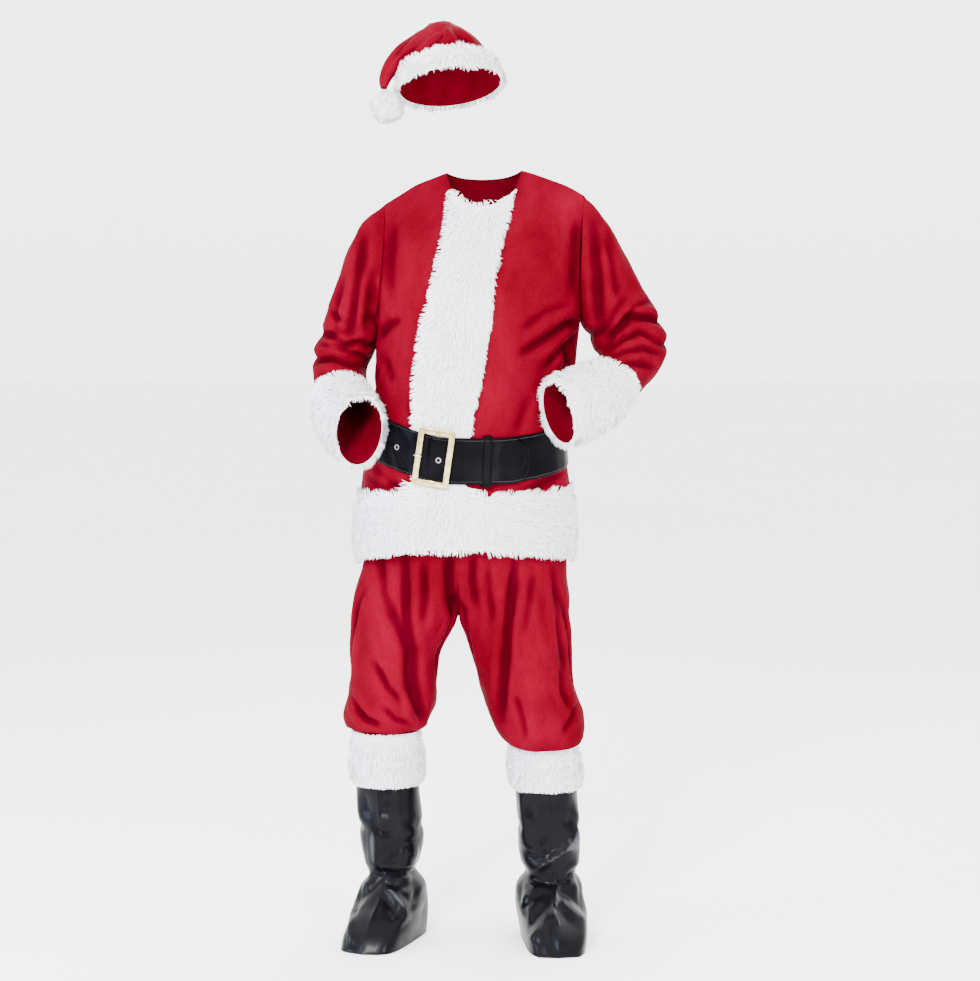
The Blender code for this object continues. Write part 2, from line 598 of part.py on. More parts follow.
def ovals(rows, columns, hand):
    """Rings whose first point is the inner one, going round by the front; hand is 1 or -1."""
    inner = rows[:, 0:3]
    outer = rows[:, 3:6]
    middle = (inner + outer) / 2
    rings = []
    for i, row in enumerate(rows):
        way = middle[min(i + 1, len(rows) - 1)] - middle[max(i - 1, 0)]
        half = (outer[i] - inner[i]) / 2
        depth = unit(np.cross(way, half)) * hand * row[6]
        ring = []
        for k in range(columns):
            angle = 2 * math.pi * k / columns
            ring.append(middle[i] - half * math.cos(angle) + depth * math.sin(angle))
        rings.append(ring)
    return np.array(rings)


def jacket(suit):
    """Fronts, back, sleeves, fur placket, hem band and cuffs; returns the body's ring of columns."""
    halves = {(s, f): half_panel(s, f) for s in ("right", "left") for f in ("front", "back")}
    armpit_row = len(halves["right", "front"]) - 1 - ARM_ROWS
    panels = {
        "front_right": halves["right", "front"][:, ::-1],
        "front_left": halves["left", "front"],
        "back": np.hstack([halves["left", "back"][:, ::-1], halves["right", "back"][:, 1:]]),
    }
    sleeves = {}
    for side in ("right", "left"):
        front = halves[side, "front"][armpit_row:, -1]
        back = halves[side, "back"][armpit_row + 1 : -1, -1][::-1]
        rings = sleeve_rings(side, np.vstack([front, back]))
        sleeves[side] = rings[::-1] if side == "left" else rings[::-1, ::-1]
    body = [(panels[name], False) for name in panels]
    body = fold_cloth(body, BODY_FOLDS)
    arms = []
    for side in ("right", "left"):
        moved = fold_cloth([(sleeves[side], True)], SLEEVE_FOLDS)[0][0]
        arms.append((moved, True))
    sew_armholes(body, arms, armpit_row)
    normals = sewn_normals(body + arms)
    names = [f"jacket_{name}" for name in panels]
    seams = (("start", "end"), ("start", "end"), ("start", "end"))
    for i, name in enumerate(names):
        points = body[i][0]
        wall(name, points, normals[i], False, (*seams[i], "top"), VELOUR, suit, "red_velour")
    cuff_rows = CUFF_LEVELS
    for i, side in enumerate(("right", "left")):
        points, normal = arms[i][0], normals[3 + i]
        wall(f"sleeve_{side}", points, normal, True, ("top",), VELOUR, suit, "red_velour")
        bend = cuff_bend(points.shape[1], side)
        pile = band_pile(points[:cuff_rows].shape, FUR, bend)
        fur_band(f"cuff_fur_{side}", points[:cuff_rows], normal[:cuff_rows], pile, True, suit)
    placket(body, normals, suit)
    hem_band(body, normals, suit)
    return body, normals


def cuff_bend(columns, side):
    """Share of the pile round a cuff, least at the inner side of the wrist."""
    shares = []
    for c in range(columns):
        k = c if side == "left" else (columns - 1 - c)
        share = (1 - math.cos(2 * math.pi * k / columns)) / 2
        shares.append(FUR_INNER_BEND + (1 - FUR_INNER_BEND) * share)
    return np.array(shares)


def sew_armholes(body, arms, armpit_row):
    """Puts the sleeves' first rings back on the armholes after both have been folded."""
    front_right, front_left, back = (grid for grid, _closed in body)
    edges = {
        "right": (front_right[armpit_row:, 0], back[armpit_row + 1 : -1, -1][::-1]),
        "left": (front_left[armpit_row:, -1], back[armpit_row + 1 : -1, 0][::-1]),
    }
    for i, side in enumerate(("right", "left")):
        ring = np.vstack(edges[side])
        arms[i][0][-1] = ring if side == "left" else ring[::-1]


def placket(body, normals, suit):
    """The fur strip over the opening, from the neckline to the hem."""
    right, left = body[0][0], body[1][0]
    points = np.hstack([right[:, -1 - PLACKET_COLUMNS : -1], left[:, : PLACKET_COLUMNS + 1]])
    lean = np.hstack(
        [normals[0][:, -1 - PLACKET_COLUMNS : -1], normals[1][:, : PLACKET_COLUMNS + 1]]
    )
    columns = points.shape[1]
    across = np.array([FUR_EDGE if c in (0, columns - 1) else 1.0 for c in range(columns)])
    pile = np.ones(points.shape[:2]) * across * FUR
    pile[0] *= FUR_EDGE
    pile[-1] *= FUR_EDGE
    for r in range(points.shape[0]):
        height = points[r, PLACKET_COLUMNS, 2]
        if FUR_REST_BELOW < height < FUR_REST_ABOVE:
            pile[r] = np.minimum(pile[r], FUR_UNDER_BELT)
    fur_band("placket_fur", points, lean, pile, False, suit)


def hem_band(body, normals, suit):
    """The fur band round the hem, from one edge of the placket round the back to the other."""
    rows = 1 + sum(row[10] for row in BODY[:3])
    first = PLACKET_COLUMNS
    strips = []
    for grids in ([grid for grid, _closed in body], normals):
        right, left, back = (grid[:rows] for grid in grids[:3])
        strips.append(np.hstack([left[:, first:-1], back[:, :-1], right[:, :-first]]))
    points, lean = strips
    points = seam_edge(points, lean, "start")
    points = seam_edge(points, lean, "end")
    pile = band_pile(points.shape, FUR)
    fur_band("hem_fur", points, lean, pile, False, suit)


# Belt ---------------------------------------------------------------------------------------------


def body_ring(body, normals):
    """The body's columns in one ring, from the opening by the wearer's left side and the back."""
    ring = []
    for grids in ([grid for grid, _closed in body], normals):
        right, left, back = grids[:3]
        ring.append(np.hstack([left[:, :-1], back[:, :-1], right]))
    return ring


def on_body(ring, place_round, height, lift):
    """The point at a place round the body and a height, moved out from the cloth by lift."""
    points, normals = ring
    turn = place_round % 4.0
    counts = (FRONT_COLUMNS, BACK_COLUMNS, BACK_COLUMNS, FRONT_COLUMNS)
    at = min(int(turn), 3)
    column = sum(counts[:at]) + (turn - at) * counts[at]
    low = int(column)
    share = column - low
    line = mix(points[:, low], points[:, low + 1], share)
    lean = mix(normals[:, low], normals[:, low + 1], share)
    r = int(np.searchsorted(line[:, 2], height)) - 1
    t = (height - line[r, 2]) / (line[r + 1, 2] - line[r, 2])
    return mix(line[r], line[r + 1], t) + unit(mix(lean[r], lean[r + 1], t)) * lift


def belt_row(place_round):
    """Height of the strap's middle and its distance from the cloth at a place round the body."""
    places, heights, lifts = zip(*BELT)
    return np.interp(place_round, places, heights), np.interp(place_round, places, lifts)


def belt_places():
    """Places of the strap's columns: each column of the cloth and the middle between two."""
    places = []
    for turn in range(5):
        count = 2 * (FRONT_COLUMNS if turn in (0, 3, 4) else BACK_COLUMNS)
        places += [turn + k / count for k in range(count)]
    start, end = BELT[0][0], BELT[-1][0]
    straight = [at for at in places if start <= at < end - BELT_TIP]
    return straight + [end - BELT_TIP * (1 - math.sin(math.pi / 2 * k / 5)) for k in range(6)]


def belt(ring, suit):
    """The strap, once round the body and on under the buckle's bars to its rounded free end."""
    end = BELT[-1][0]
    inner, outer = [], []
    for at in belt_places():
        height, lift = belt_row(at)
        past = max(0.0, (at - (end - BELT_TIP)) / BELT_TIP)
        half = BELT_WIDTH / 2 * max(math.sqrt(1 - past**2.4), 0.12)
        levels = [height + half * share for share in BELT_LEVELS]
        inner.append([on_body(ring, at, level, lift) for level in levels])
        outer.append([on_body(ring, at, level, lift + STRAP) for level in levels])
    solid("belt_strap", np.array(outer), np.array(inner), False, suit, "black_vinyl")


def keeper(ring, suit):
    """The loop that holds the free end down on the strap beneath it."""
    loops = []
    for at in KEEPER_PLACES:
        height, lift = belt_row(at)
        _under, low = belt_row(at - 4.0)
        half = BELT_WIDTH / 2 + KEEPER_MARGIN
        inside = low - KEEPER_PLAY
        outside = lift + STRAP + KEEPER_PLAY
        section = []
        for skin in (0.0, KEEPER_WALL):
            near, far = inside - skin, outside + skin
            reach = half + skin
            corners = ((-reach, near), (-reach, far), (0, far), (reach, far), (reach, near), (0, near))
            section.append([on_body(ring, at, height + z, out) for z, out in corners])
        loops.append(section)
    loops = np.array(loops)
    solid("belt_keeper", loops[:, 1], loops[:, 0], True, suit, "black_vinyl")


def buckle(suit):
    """The rectangular frame with rounded corners, and the tip of its prong on the outer bar."""
    collection, holder = suit
    bpy.ops.mesh.primitive_cube_add(size=1)
    frame = bpy.context.object
    frame.name = "buckle_frame"
    frame.data.name = "buckle_frame"
    bm = bmesh.new()
    bm.from_mesh(frame.data)
    bmesh.ops.scale(bm, vec=(BUCKLE_WIDTH, BUCKLE_THICKNESS, BUCKLE_HEIGHT), verts=bm.verts)
    faces = [f for f in bm.faces if abs(f.normal.y) > 0.5]
    bmesh.ops.inset_region(bm, faces=faces, thickness=BUCKLE_BAR, use_even_offset=True)
    inner = [f for f in bm.faces if abs(f.normal.y) > 0.5 and f.calc_area() > 0]
    inner = sorted(inner, key=lambda f: f.calc_center_median().xz.length)[:2]
    bmesh.ops.bridge_loops(bm, edges=[e for f in inner for e in f.edges])
    bmesh.ops.delete(bm, geom=inner, context="FACES_ONLY")
    bmesh.ops.recalc_face_normals(bm, faces=bm.faces)
    bm.to_mesh(frame.data)
    bm.free()
    bevel = frame.modifiers.new("rounded", "BEVEL")
    bevel.width = 0.0012
    bevel.segments = 1
    bevel.limit_method = "ANGLE"
    place(frame, collection, holder, "pale_gold")
    frame.location = BUCKLE_CENTRE
    lean, roll, turn = BUCKLE_LEAN, BUCKLE_ROLL, -BUCKLE_TURN
    frame.rotation_euler = (math.radians(lean), math.radians(roll), math.radians(turn))

    bpy.ops.mesh.primitive_uv_sphere_add(segments=10, ring_count=6, radius=PRONG_RADIUS)
    prong = bpy.context.object
    prong.name = "buckle_prong"
    prong.data.name = "buckle_prong"
    prong.data.transform(Matrix.Diagonal((PRONG_LENGTH / 2 / PRONG_RADIUS, 1.0, 1.0, 1.0)))
    prong.data.shade_smooth()
    place(prong, collection, frame, "pale_gold")
    bar = -(BUCKLE_WIDTH - BUCKLE_BAR) / 2
    prong.location = (bar, -(BUCKLE_THICKNESS / 2 + PRONG_RADIUS + GAP), 0.0)


def eyelets(ring, suit):
    """Metal rings round the holes of the strap."""
    collection, holder = suit
    for i, at in enumerate(EYELET_PLACES, 1):
        height, lift = belt_row(at)
        base = on_body(ring, at, height, lift + STRAP)
        above = on_body(ring, at, height, lift + STRAP + EYELET_WIRE + GAP)
        bpy.ops.mesh.primitive_torus_add(
            major_segments=14,
            minor_segments=6,
            major_radius=EYELET_RADIUS,
            minor_radius=EYELET_WIRE,
        )
        made = bpy.context.object
        made.name = f"eyelet_{i}"
        made.data.name = made.name
        made.data.shade_smooth()
        place(made, collection, holder, "silver")
        made.location = above
        made.rotation_mode = "QUATERNION"
        made.rotation_quaternion = Vector(above - base).to_track_quat("Z", "Y")


# Trousers -----------------------------------------------------------------------------------------


def leg_row(inner, outer, front, back, share, face, droop):
    """Points of a leg panel's row from the inner to the outer side.

    share 0 is half an oval, as on the leg, and 1 a quarter of one, as round the seat.
    """
    sign = -1 if face == "front" else 1
    deep = front if face == "front" else back
    points = []
    for k in range(LEG_COLUMNS + 1):
        u = k / LEG_COLUMNS
        across = (1 - math.cos(math.pi * u)) / 2
        leg = mix(inner, outer, across)
        leg[1] += sign * deep * math.sin(math.pi * u)
        leg[2] -= droop * math.sin(math.pi * u)
        quarter_turn = math.pi / 2 * u
        seat = mix(inner, outer, math.sin(quarter_turn))
        seat[1] = outer[1] + sign * deep * math.cos(quarter_turn)
        seat[2] = inner[2] + (outer[2] - inner[2]) * (1 - math.cos(quarter_turn))
        points.append(mix(leg, seat, share))
    return points


def leg_panel(side, face):
    """One front or back panel of the trousers, rows from the hem to the waist."""
    grid = []
    levels = LEGS[side]
    first = SEAT[0]
    outer_x = 4 if side == "right" else 5
    join = (first[1], first[2], first[3], first[outer_x], 0.0, first[6], first[7], 0.0)
    rows = spline([level[1:9] for level in levels] + [join], [level[9] for level in levels])
    for z_in, z_out, x_in, x_out, y, front, back, droop in rows:
        grid.append(leg_row((x_in, y, z_in), (x_out, y, z_out), front, back, 0.0, face, droop))
    seat = spline([level[1:9] for level in SEAT], [level[9] for level in SEAT])
    for z_mid, z_side, x_mid, x_right, x_left, front, back, share in seat[1:]:
        x_out = x_right if side == "right" else x_left
        share = min(max(share, 0.0), 1.0)
        inner, outer = (x_mid, 0.0, z_mid), (x_out, 0.0, z_side)
        grid.append(leg_row(inner, outer, front, back, share, face, 0.0))
    return np.array(grid)


def trousers(suit):
    """Four panels from the waist to the gathered hems, and the waistband."""
    panels = {}
    for side in ("right", "left"):
        for face in ("front", "back"):
            grid = leg_panel(side, face)
            outward = (side == "left") == (face == "front")
            panels[face, side] = grid if outward else grid[:, ::-1]
    grids = fold_cloth([(grid, False) for grid in panels.values()], TROUSER_FOLDS)
    normals = sewn_normals(grids)
    tops = {}
    for (face, side), (points, _closed), normal in zip(panels, grids, normals):
        name = f"trouser_{face}_{side}"
        wall(name, points, normal, False, ("start", "end", "top"), VELOUR, suit, "red_velour")
        tops[face, side] = points[-1]
    order = (("front", "left"), ("back", "left"), ("back", "right"), ("front", "right"))
    ring = np.vstack([tops[key][:-1] for key in order])
    band = np.array([ring, ring])
    band[0, :, 2] += GAP
    band[1, :, 2] += WAISTBAND_HEIGHT
    lean = sewn_normals([(band, True)])[0]
    wall("trouser_waistband", band, lean, True, (), VELOUR, suit, "red_velour")


# Boot covers --------------------------------------------------------------------------------------


def boot_ring(row, side, hand):
    """Half a level of a boot cover, from the front seam to the back seam."""
    z, x, y, half, toe, heel = row
    turn = math.radians(TOE_OUT[side])
    out = -1 if side == "right" else 1
    ahead = np.array([math.sin(turn) * out, -math.cos(turn), 0.0])
    aside = np.array([math.cos(turn), math.sin(turn) * out, 0.0]) * hand
    centre = np.array([x, y, z])
    long = (toe - half) / toe if toe > half else 0.0
    points = []
    for k in range(BOOT_COLUMNS + 1):
        angle = math.pi * k / BOOT_COLUMNS
        c, s = math.cos(angle), math.sin(angle)
        if c > 0:
            square = 1 / (1 + TOE_BLUNT * long)
            c, s = c**square, s**square
        reach = (toe if c > 0 else heel) * c
        width = half * s * (1 - TOE_TAPER * long * max(c, 0.0))
        points.append(centre + ahead * reach + aside * width)
    return points


def boot(side, suit):
    """The two panels of one boot cover and the fur round its top."""
    levels = BOOTS[side][::-1]
    rows = spline([level[1:7] for level in levels], [level[7] for level in levels])
    grids = {}
    for name, hand in (("west", -1), ("east", 1)):
        grid = np.array([boot_ring(row, side, hand) for row in rows])
        grids[name] = grid[:, ::-1] if hand < 0 else grid
    names = {"west": "outer", "east": "inner"}
    if side == "left":
        names = {"west": "inner", "east": "outer"}
    sewn = fold_cloth([(grid, False) for grid in grids.values()], BOOT_FOLDS)
    normals = sewn_normals(sewn)
    for key, (points, _closed), normal in zip(grids, sewn, normals):
        name = f"boot_cover_{side}_{names[key]}"
        wall(name, points, normal, False, ("start", "end"), VINYL, suit, "black_vinyl")
    count = BOOT_FUR_LEVELS + 1
    points = np.hstack([grid[-count:, :-1] for grid, _closed in sewn])
    lean = np.hstack([normal[-count:, :-1] for normal in normals])
    fur_band(f"boot_fur_{side}", points, lean, band_pile(points.shape, FUR), True, suit)


# Hat ----------------------------------------------------------------------------------------------


def hat(suit):
    """The crown that falls to the side, the fur band and the pompom."""
    collection, holder = suit
    numbers = [(*level[1], *level[2], level[3]) for level in HAT]
    rows = spline(numbers, [level[4] for level in HAT])
    rings = ovals(rows, HAT_COLUMNS, -1)
    rings = fold_cloth([(rings, True)], HAT_FOLDS)[0][0]
    lean = sewn_normals([(rings, True)])[0]
    wall("hat_crown", rings, lean, True, (), VELOUR, suit, "red_velour")
    count = HAT_BAND_STEPS + 1
    pile = band_pile(rings[:count].shape, FUR)
    fur_band("hat_fur_band", rings[:count], lean[:count], pile, True, suit)

    bpy.ops.mesh.primitive_ico_sphere_add(subdivisions=2, radius=POMPOM_RADIUS - POMPOM_TUFT)
    ball = bpy.context.object
    ball.name = "hat_pompom"
    ball.data.name = "hat_pompom"
    bm = bmesh.new()
    bm.from_mesh(ball.data)
    tufts = bmesh.ops.poke(bm, faces=bm.faces)["verts"]
    for vert in tufts:
        vert.co = vert.co.normalized() * POMPOM_RADIUS
    bm.to_mesh(ball.data)
    bm.free()
    ball.data.shade_smooth()
    place(ball, collection, holder, "white_fur")
    ball.location = POMPOM_CENTRE


def main():
    for old in list(bpy.data.objects):
        bpy.data.objects.remove(old, do_unlink=True)
    collection = bpy.data.collections.new("santa_suit")
    bpy.context.scene.collection.children.link(collection)
    holder = bpy.data.objects.new("floor_level", None)
    collection.objects.link(holder)
    holder.location = [-value for value in HOLD_POINT]
    suit = (collection, holder)
    body, normals = jacket(suit)
    ring = body_ring(body, normals)
    belt(ring, suit)
    keeper(ring, suit)
    eyelets(ring, suit)
    buckle(suit)
    trousers(suit)
    boot("right", suit)
    boot("left", suit)
    hat(suit)


main()
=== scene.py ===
"""Looks of the santa suit: crimson velour, long white fur, glossy black vinyl and a pale gold buckle."""

import math

import bmesh
import bpy
import numpy as np
from mathutils import Matrix, Vector, noise
from mathutils.bvhtree import BVHTree
from mathutils.kdtree import KDTree


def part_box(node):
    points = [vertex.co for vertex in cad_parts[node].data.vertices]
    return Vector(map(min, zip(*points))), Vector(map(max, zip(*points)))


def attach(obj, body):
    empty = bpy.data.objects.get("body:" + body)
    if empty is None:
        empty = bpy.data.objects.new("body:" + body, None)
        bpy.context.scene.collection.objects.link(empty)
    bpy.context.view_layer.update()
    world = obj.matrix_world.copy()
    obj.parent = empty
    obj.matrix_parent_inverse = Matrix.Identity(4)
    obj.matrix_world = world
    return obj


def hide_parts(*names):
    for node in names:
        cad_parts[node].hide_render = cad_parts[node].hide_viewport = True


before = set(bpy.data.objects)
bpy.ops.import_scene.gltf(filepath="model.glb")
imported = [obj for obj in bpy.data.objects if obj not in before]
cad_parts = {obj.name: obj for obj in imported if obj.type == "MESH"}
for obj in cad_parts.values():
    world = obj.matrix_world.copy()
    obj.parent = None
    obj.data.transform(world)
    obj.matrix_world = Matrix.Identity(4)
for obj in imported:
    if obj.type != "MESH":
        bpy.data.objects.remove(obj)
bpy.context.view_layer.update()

noise.seed_set(3)  # the same tufts and curls at every run

# Sizes are in metres. Tables give heights above the floor and x from the middle of the feet,
# and HOLD is where the shoulders carry the jacket, which is the origin of the frame.
HOLD = np.array((0.03, 0.0, 1.43))
VELOUR_WALL = 0.0018  # the thicknesses of the cloths
VINYL_WALL = 0.0014
CAD_WALLS = {"velour": 0.0020, "vinyl": 0.0016}  # and of the CAD walls that they replace
FUR_BACKING = 0.0022  # the thickness of the fur's knitted ground
BELT_UNDER = (0.910, 1.012)  # heights between which the belt presses the fur strip flat
BELT_RISE = ((-0.150, -0.060), (0.024, 0.0))  # and how much higher it lies towards the wearer's right


# Finishes -----------------------------------------------------------------------------------------


class Finish:
    """A material's node tree, with short calls for the nodes that every finish here uses."""

    def __init__(self, name, **values):
        self.material = bpy.data.materials.new(name)
        self.material.use_nodes = True
        self.tree = self.material.node_tree
        self.shader = self.tree.nodes["Principled BSDF"]
        for socket, value in values.items():
            words = socket.replace("_", " ").title().replace("Ior", "IOR")
            self.shader.inputs[words].default_value = value
        self.place = self.node("ShaderNodeTexCoord").outputs["Object"]

    def node(self, kind, **settings):
        made = self.tree.nodes.new(kind)
        for key, value in settings.items():
            setattr(made, key, value)
        return made

    def link(self, output, socket):
        self.tree.links.new(output, socket)

    def noise(self, scale, detail=3.0, roughness=0.55, stretch=None, warp=0.0, kind="FBM"):
        source = self.place
        if stretch:
            mapping = self.node("ShaderNodeMapping")
            mapping.inputs["Scale"].default_value = stretch
            self.link(source, mapping.inputs["Vector"])
            source = mapping.outputs["Vector"]
        made = self.node("ShaderNodeTexNoise", noise_type=kind)
        self.link(source, made.inputs["Vector"])
        made.inputs["Scale"].default_value = scale
        made.inputs["Detail"].default_value = detail
        made.inputs["Roughness"].default_value = roughness
        made.inputs["Distortion"].default_value = warp
        return made.outputs["Fac"]

    def attribute(self, name):
        made = self.node("ShaderNodeAttribute", attribute_name=name)
        return made.outputs["Fac"]

    def ramp(self, source, *stops):
        made = self.node("ShaderNodeValToRGB")
        self.link(source, made.inputs["Fac"])
        steps = made.color_ramp.elements
        while len(steps) < len(stops):
            steps.new(0.5)
        for step, (at, colour) in zip(steps, stops):
            step.position = at
            step.color = (*colour, 1.0)
        return made.outputs["Color"]

    def span(self, source, low, high, start=0.3, end=0.7):
        made = self.node("ShaderNodeMapRange")
        self.link(source, made.inputs["Value"])
        for socket, value in zip(("From Min", "From Max", "To Min", "To Max"), (start, end, low, high)):
            made.inputs[socket].default_value = value
        return made.outputs["Result"]

    def mix(self, share, a, b, kind="MIX"):
        made = self.node("ShaderNodeMix", data_type="RGBA", blend_type=kind)
        if isinstance(share, float):
            made.inputs["Factor"].default_value = share
        else:
            self.link(share, made.inputs["Factor"])
        for socket, value in ((made.inputs[6], a), (made.inputs[7], b)):
            if isinstance(value, tuple):
                socket.default_value = (*value, 1.0)
            else:
                self.link(value, socket)
        return made.outputs[2]

    def bump(self, *layers):
        """Bumps on top of each other: each layer is a height, its depth in metres and its strength."""
        normal = None
        for height, depth, strength in layers:
            made = self.node("ShaderNodeBump")
            made.inputs["Distance"].default_value = depth
            made.inputs["Strength"].default_value = strength
            self.link(height, made.inputs["Height"])
            if normal:
                self.link(normal, made.inputs["Normal"])
            normal = made.outputs["Normal"]
        self.link(normal, self.shader.inputs["Normal"])

    def base(self, colour):
        self.link(colour, self.shader.inputs["Base Color"])

    def rough(self, value):
        self.link(value, self.shader.inputs["Roughness"])


def red_velour():
    """Short crimson pile: brushed patches, a fine nap, and painted shade darkening the folds, the sleeves and
    the trousers.
    """
    velour = Finish("red_velour", sheen_weight=0.014, sheen_roughness=0.30, specular_ior_level=0.005)
    velour.shader.inputs["Sheen Tint"].default_value = (1.0, 0.06, 0.14, 1.0)
    brushed = velour.noise(9.0, 4.0, 0.6, stretch=(1.0, 1.0, 0.45), warp=0.6)
    nap = velour.noise(420.0, 2.0, 0.6, stretch=(1.0, 1.0, 0.35))
    reds = ((0.30, (0.078, 0.0, 0.0038)), (0.55, (0.112, 0.0, 0.0070)), (0.78, (0.150, 0.0, 0.0115)))
    patches = velour.ramp(brushed, *reds)
    pile = velour.ramp(nap, (0.30, (0.62, 0.62, 0.62)), (0.62, (1.0, 1.0, 1.0)))
    napped = velour.mix(0.35, patches, pile, "MULTIPLY")
    # painted shade: the base colour darkens with the fold value, which is deep in the folds and raised on the
    # sleeves and trousers
    painted_fold_shade = ((0.12, (1.0, 1.0, 1.0)), (0.60, (0.64, 0.64, 0.68)), (1.0, (0.42, 0.42, 0.46)))
    hollows = velour.ramp(velour.attribute("fold"), *painted_fold_shade)
    velour.base(velour.mix(1.0, napped, hollows, "MULTIPLY"))
    velour.rough(velour.span(brushed, 0.68, 0.52))
    velour.bump((brushed, 0.004, 0.20), (nap, 0.0006, 0.35))
    return velour.material


def white_fur():
    """Long white pile, a little blue, with painted shade darkening it towards the roots."""
    fur = Finish("white_fur", sheen_weight=0.30, sheen_roughness=0.5, roughness=0.75, specular_ior_level=0.20)
    tufts = fur.noise(26.0, 3.0, 0.6)
    # painted shade: the locks are coloured darker and greyer towards their roots
    painted_root_shade = ((0.0, (0.72, 0.73, 0.78)), (0.40, (0.93, 0.93, 0.95)), (1.0, (0.98, 0.98, 0.985)))
    along = fur.ramp(fur.attribute("pile"), *painted_root_shade)
    shade = fur.ramp(tufts, (0.30, (0.90, 0.91, 0.94)), (0.62, (1.0, 1.0, 1.0)))
    fur.base(fur.mix(1.0, along, shade, "MULTIPLY"))
    return fur.material


def fur_backing():
    """The knitted ground that the pile stands on."""
    ground = Finish("fur_ground", roughness=0.9)
    knit = ground.noise(500.0, 2.0, 0.6)
    ground.base(ground.ramp(knit, (0.3, (0.62, 0.63, 0.68)), (0.7, (0.84, 0.85, 0.88))))
    ground.bump((knit, 0.001, 0.5))
    return ground.material


def black_vinyl(name, wrinkles, gloss, pressed_lines=False):
    """Glossy black leathercloth: sharp crumples, a fine grain, and pale grey painted highlights along its
    ridges.
    """
    vinyl = Finish(name, specular_ior_level=gloss, coat_weight=0.6 * gloss, coat_roughness=0.16)
    crumple = vinyl.noise(11.0, 0.0, 0.5, warp=0.4, kind="RIDGED_MULTIFRACTAL")
    ripple = vinyl.noise(38.0, 1.0, 0.5, warp=0.3)
    grain = vinyl.noise(900.0, 2.0, 0.5)
    haze = vinyl.noise(14.0, 4.0, 0.6)
    ground = vinyl.ramp(haze, (0.35, (0.0010, 0.0010, 0.0016)), (0.70, (0.0024, 0.0023, 0.0036)))
    # painted highlight: the base colour turns pale grey where the fold value marks a high ridge
    painted_ridge_highlight = vinyl.span(vinyl.attribute("fold"), 0.0, 0.85, -0.62, -1.0)
    vinyl.base(vinyl.mix(painted_ridge_highlight, ground, (0.066, 0.067, 0.076)))
    vinyl.rough(vinyl.span(haze, 0.26, 0.40))
    layers = [(crumple, 0.004, wrinkles), (ripple, 0.003, 0.6 * wrinkles), (grain, 0.00025, 0.10)]
    if pressed_lines:
        high, low = (1.0, 1.0, 1.0), (0.0, 0.0, 0.0)
        lines = ((0.045, high), (0.060, low), (0.075, high), (0.925, high), (0.940, low), (0.955, high))
        layers.append((vinyl.ramp(vinyl.attribute("across"), *lines), 0.0012, 0.8))
    vinyl.bump(*layers)
    return vinyl.material


def metal(name, dark, light, roughness):
    """Plated metal with faint brushing and duller patches."""
    plate = Finish(name, metallic=1.0)
    wear = plate.noise(60.0, 4.0, 0.6)
    brushing = plate.noise(300.0, 2.0, 0.5, stretch=(1.0, 1.0, 0.08))
    plate.base(plate.ramp(wear, (0.30, dark), (0.62, light)))
    plate.rough(plate.span(wear, roughness + 0.10, roughness))
    plate.bump((brushing, 0.0002, 0.20))
    return plate.material


def thread(name, colour):
    """Twisted sewing thread."""
    twist = Finish(name, roughness=0.6)
    turns = twist.noise(1500.0, 1.0, 0.5)
    twist.base(twist.mix(turns, tuple(0.6 * c for c in colour), colour))
    twist.bump((turns, 0.0002, 0.5))
    return twist.material


VELOUR = red_velour()
FUR = white_fur()
GROUND = fur_backing()
BOOT_VINYL = black_vinyl("boot_vinyl", 0.26, 0.060)
BELT_VINYL = black_vinyl("belt_vinyl", 0.12, 0.024, pressed_lines=True)
PALE_GOLD = metal("pale_gold", (0.36, 0.27, 0.10), (0.70, 0.56, 0.27), 0.20)
SILVER = metal("silver", (0.28, 0.28, 0.30), (0.52, 0.52, 0.55), 0.25)
BLACK_THREAD = thread("black_thread", (0.05, 0.05, 0.055))


# Fur bands ----------------------------------------------------------------------------------------

# heights of the placket's middle line and its x there
PLACKET_MIDDLE = ((0.80, 1.00, 1.15, 1.30, 1.45), (-0.060, -0.053, -0.037, -0.008, 0.018))
PLACKET_HALF = 0.075  # half its width
RUN_OF_EDGES = 60  # a band's rim has at least this many edges, and a flaw in its mesh has fewer


def down(spots):
    """Straight down."""
    return np.tile((0.0, 0.0, -1.0), (len(spots), 1))


def hem_nap(spots):
    """Down in the middle and on the wearer's right, lying sideways on the wearer's left."""
    x = spots[:, 0] + HOLD[0]
    sideways = 1 / (1 + np.exp(-(x - 0.032) / 0.004))
    ways = np.zeros_like(spots)
    ways[:, 0] = 1.0 * sideways - 0.25 * (1 - sideways)
    ways[:, 2] = -0.35 * sideways - 1.0 * (1 - sideways)
    return ways


def placket_nap(spots):
    """Down, and out over the edge on the wearer's right."""
    ways = np.zeros_like(spots)
    ways[:, 0] = -0.55 * (1 - beside(spots))
    ways[:, 2] = -1.0
    return ways


def beside(spots):
    """0 at the placket's edge on the wearer's right, 1 at the edge on the left."""
    z = spots[:, 2] + HOLD[2]
    middle = np.interp(z, *PLACKET_MIDDLE)
    return np.clip((spots[:, 0] + HOLD[0] - middle) / (2 * PLACKET_HALF) + 0.5, 0, 1)


OPEN_RIMS = ("cuff_fur_right", "cuff_fur_left", "hat_fur_band")  # bands that are seen from their open end
# node, locks, locks along the edges, hair length, nap, how much the tufts stray, seed
BANDS = (
    ("hem_fur", 10600, 1200, 0.0225, hem_nap, 0.75, 11),
    ("placket_fur", 7000, 700, 0.022, placket_nap, 0.70, 23),
    ("cuff_fur_right", 3600, 1000, 0.0228, down, 1.10, 37),
    ("cuff_fur_left", 3600, 1000, 0.0228, down, 1.10, 41),
    ("boot_fur_right", 3000, 450, 0.023, down, 0.90, 53),
    ("boot_fur_left", 3000, 450, 0.023, down, 0.90, 59),
    ("hat_fur_band", 2900, 800, 0.021, down, 1.10, 61),
)


# Cloth --------------------------------------------------------------------------------------------

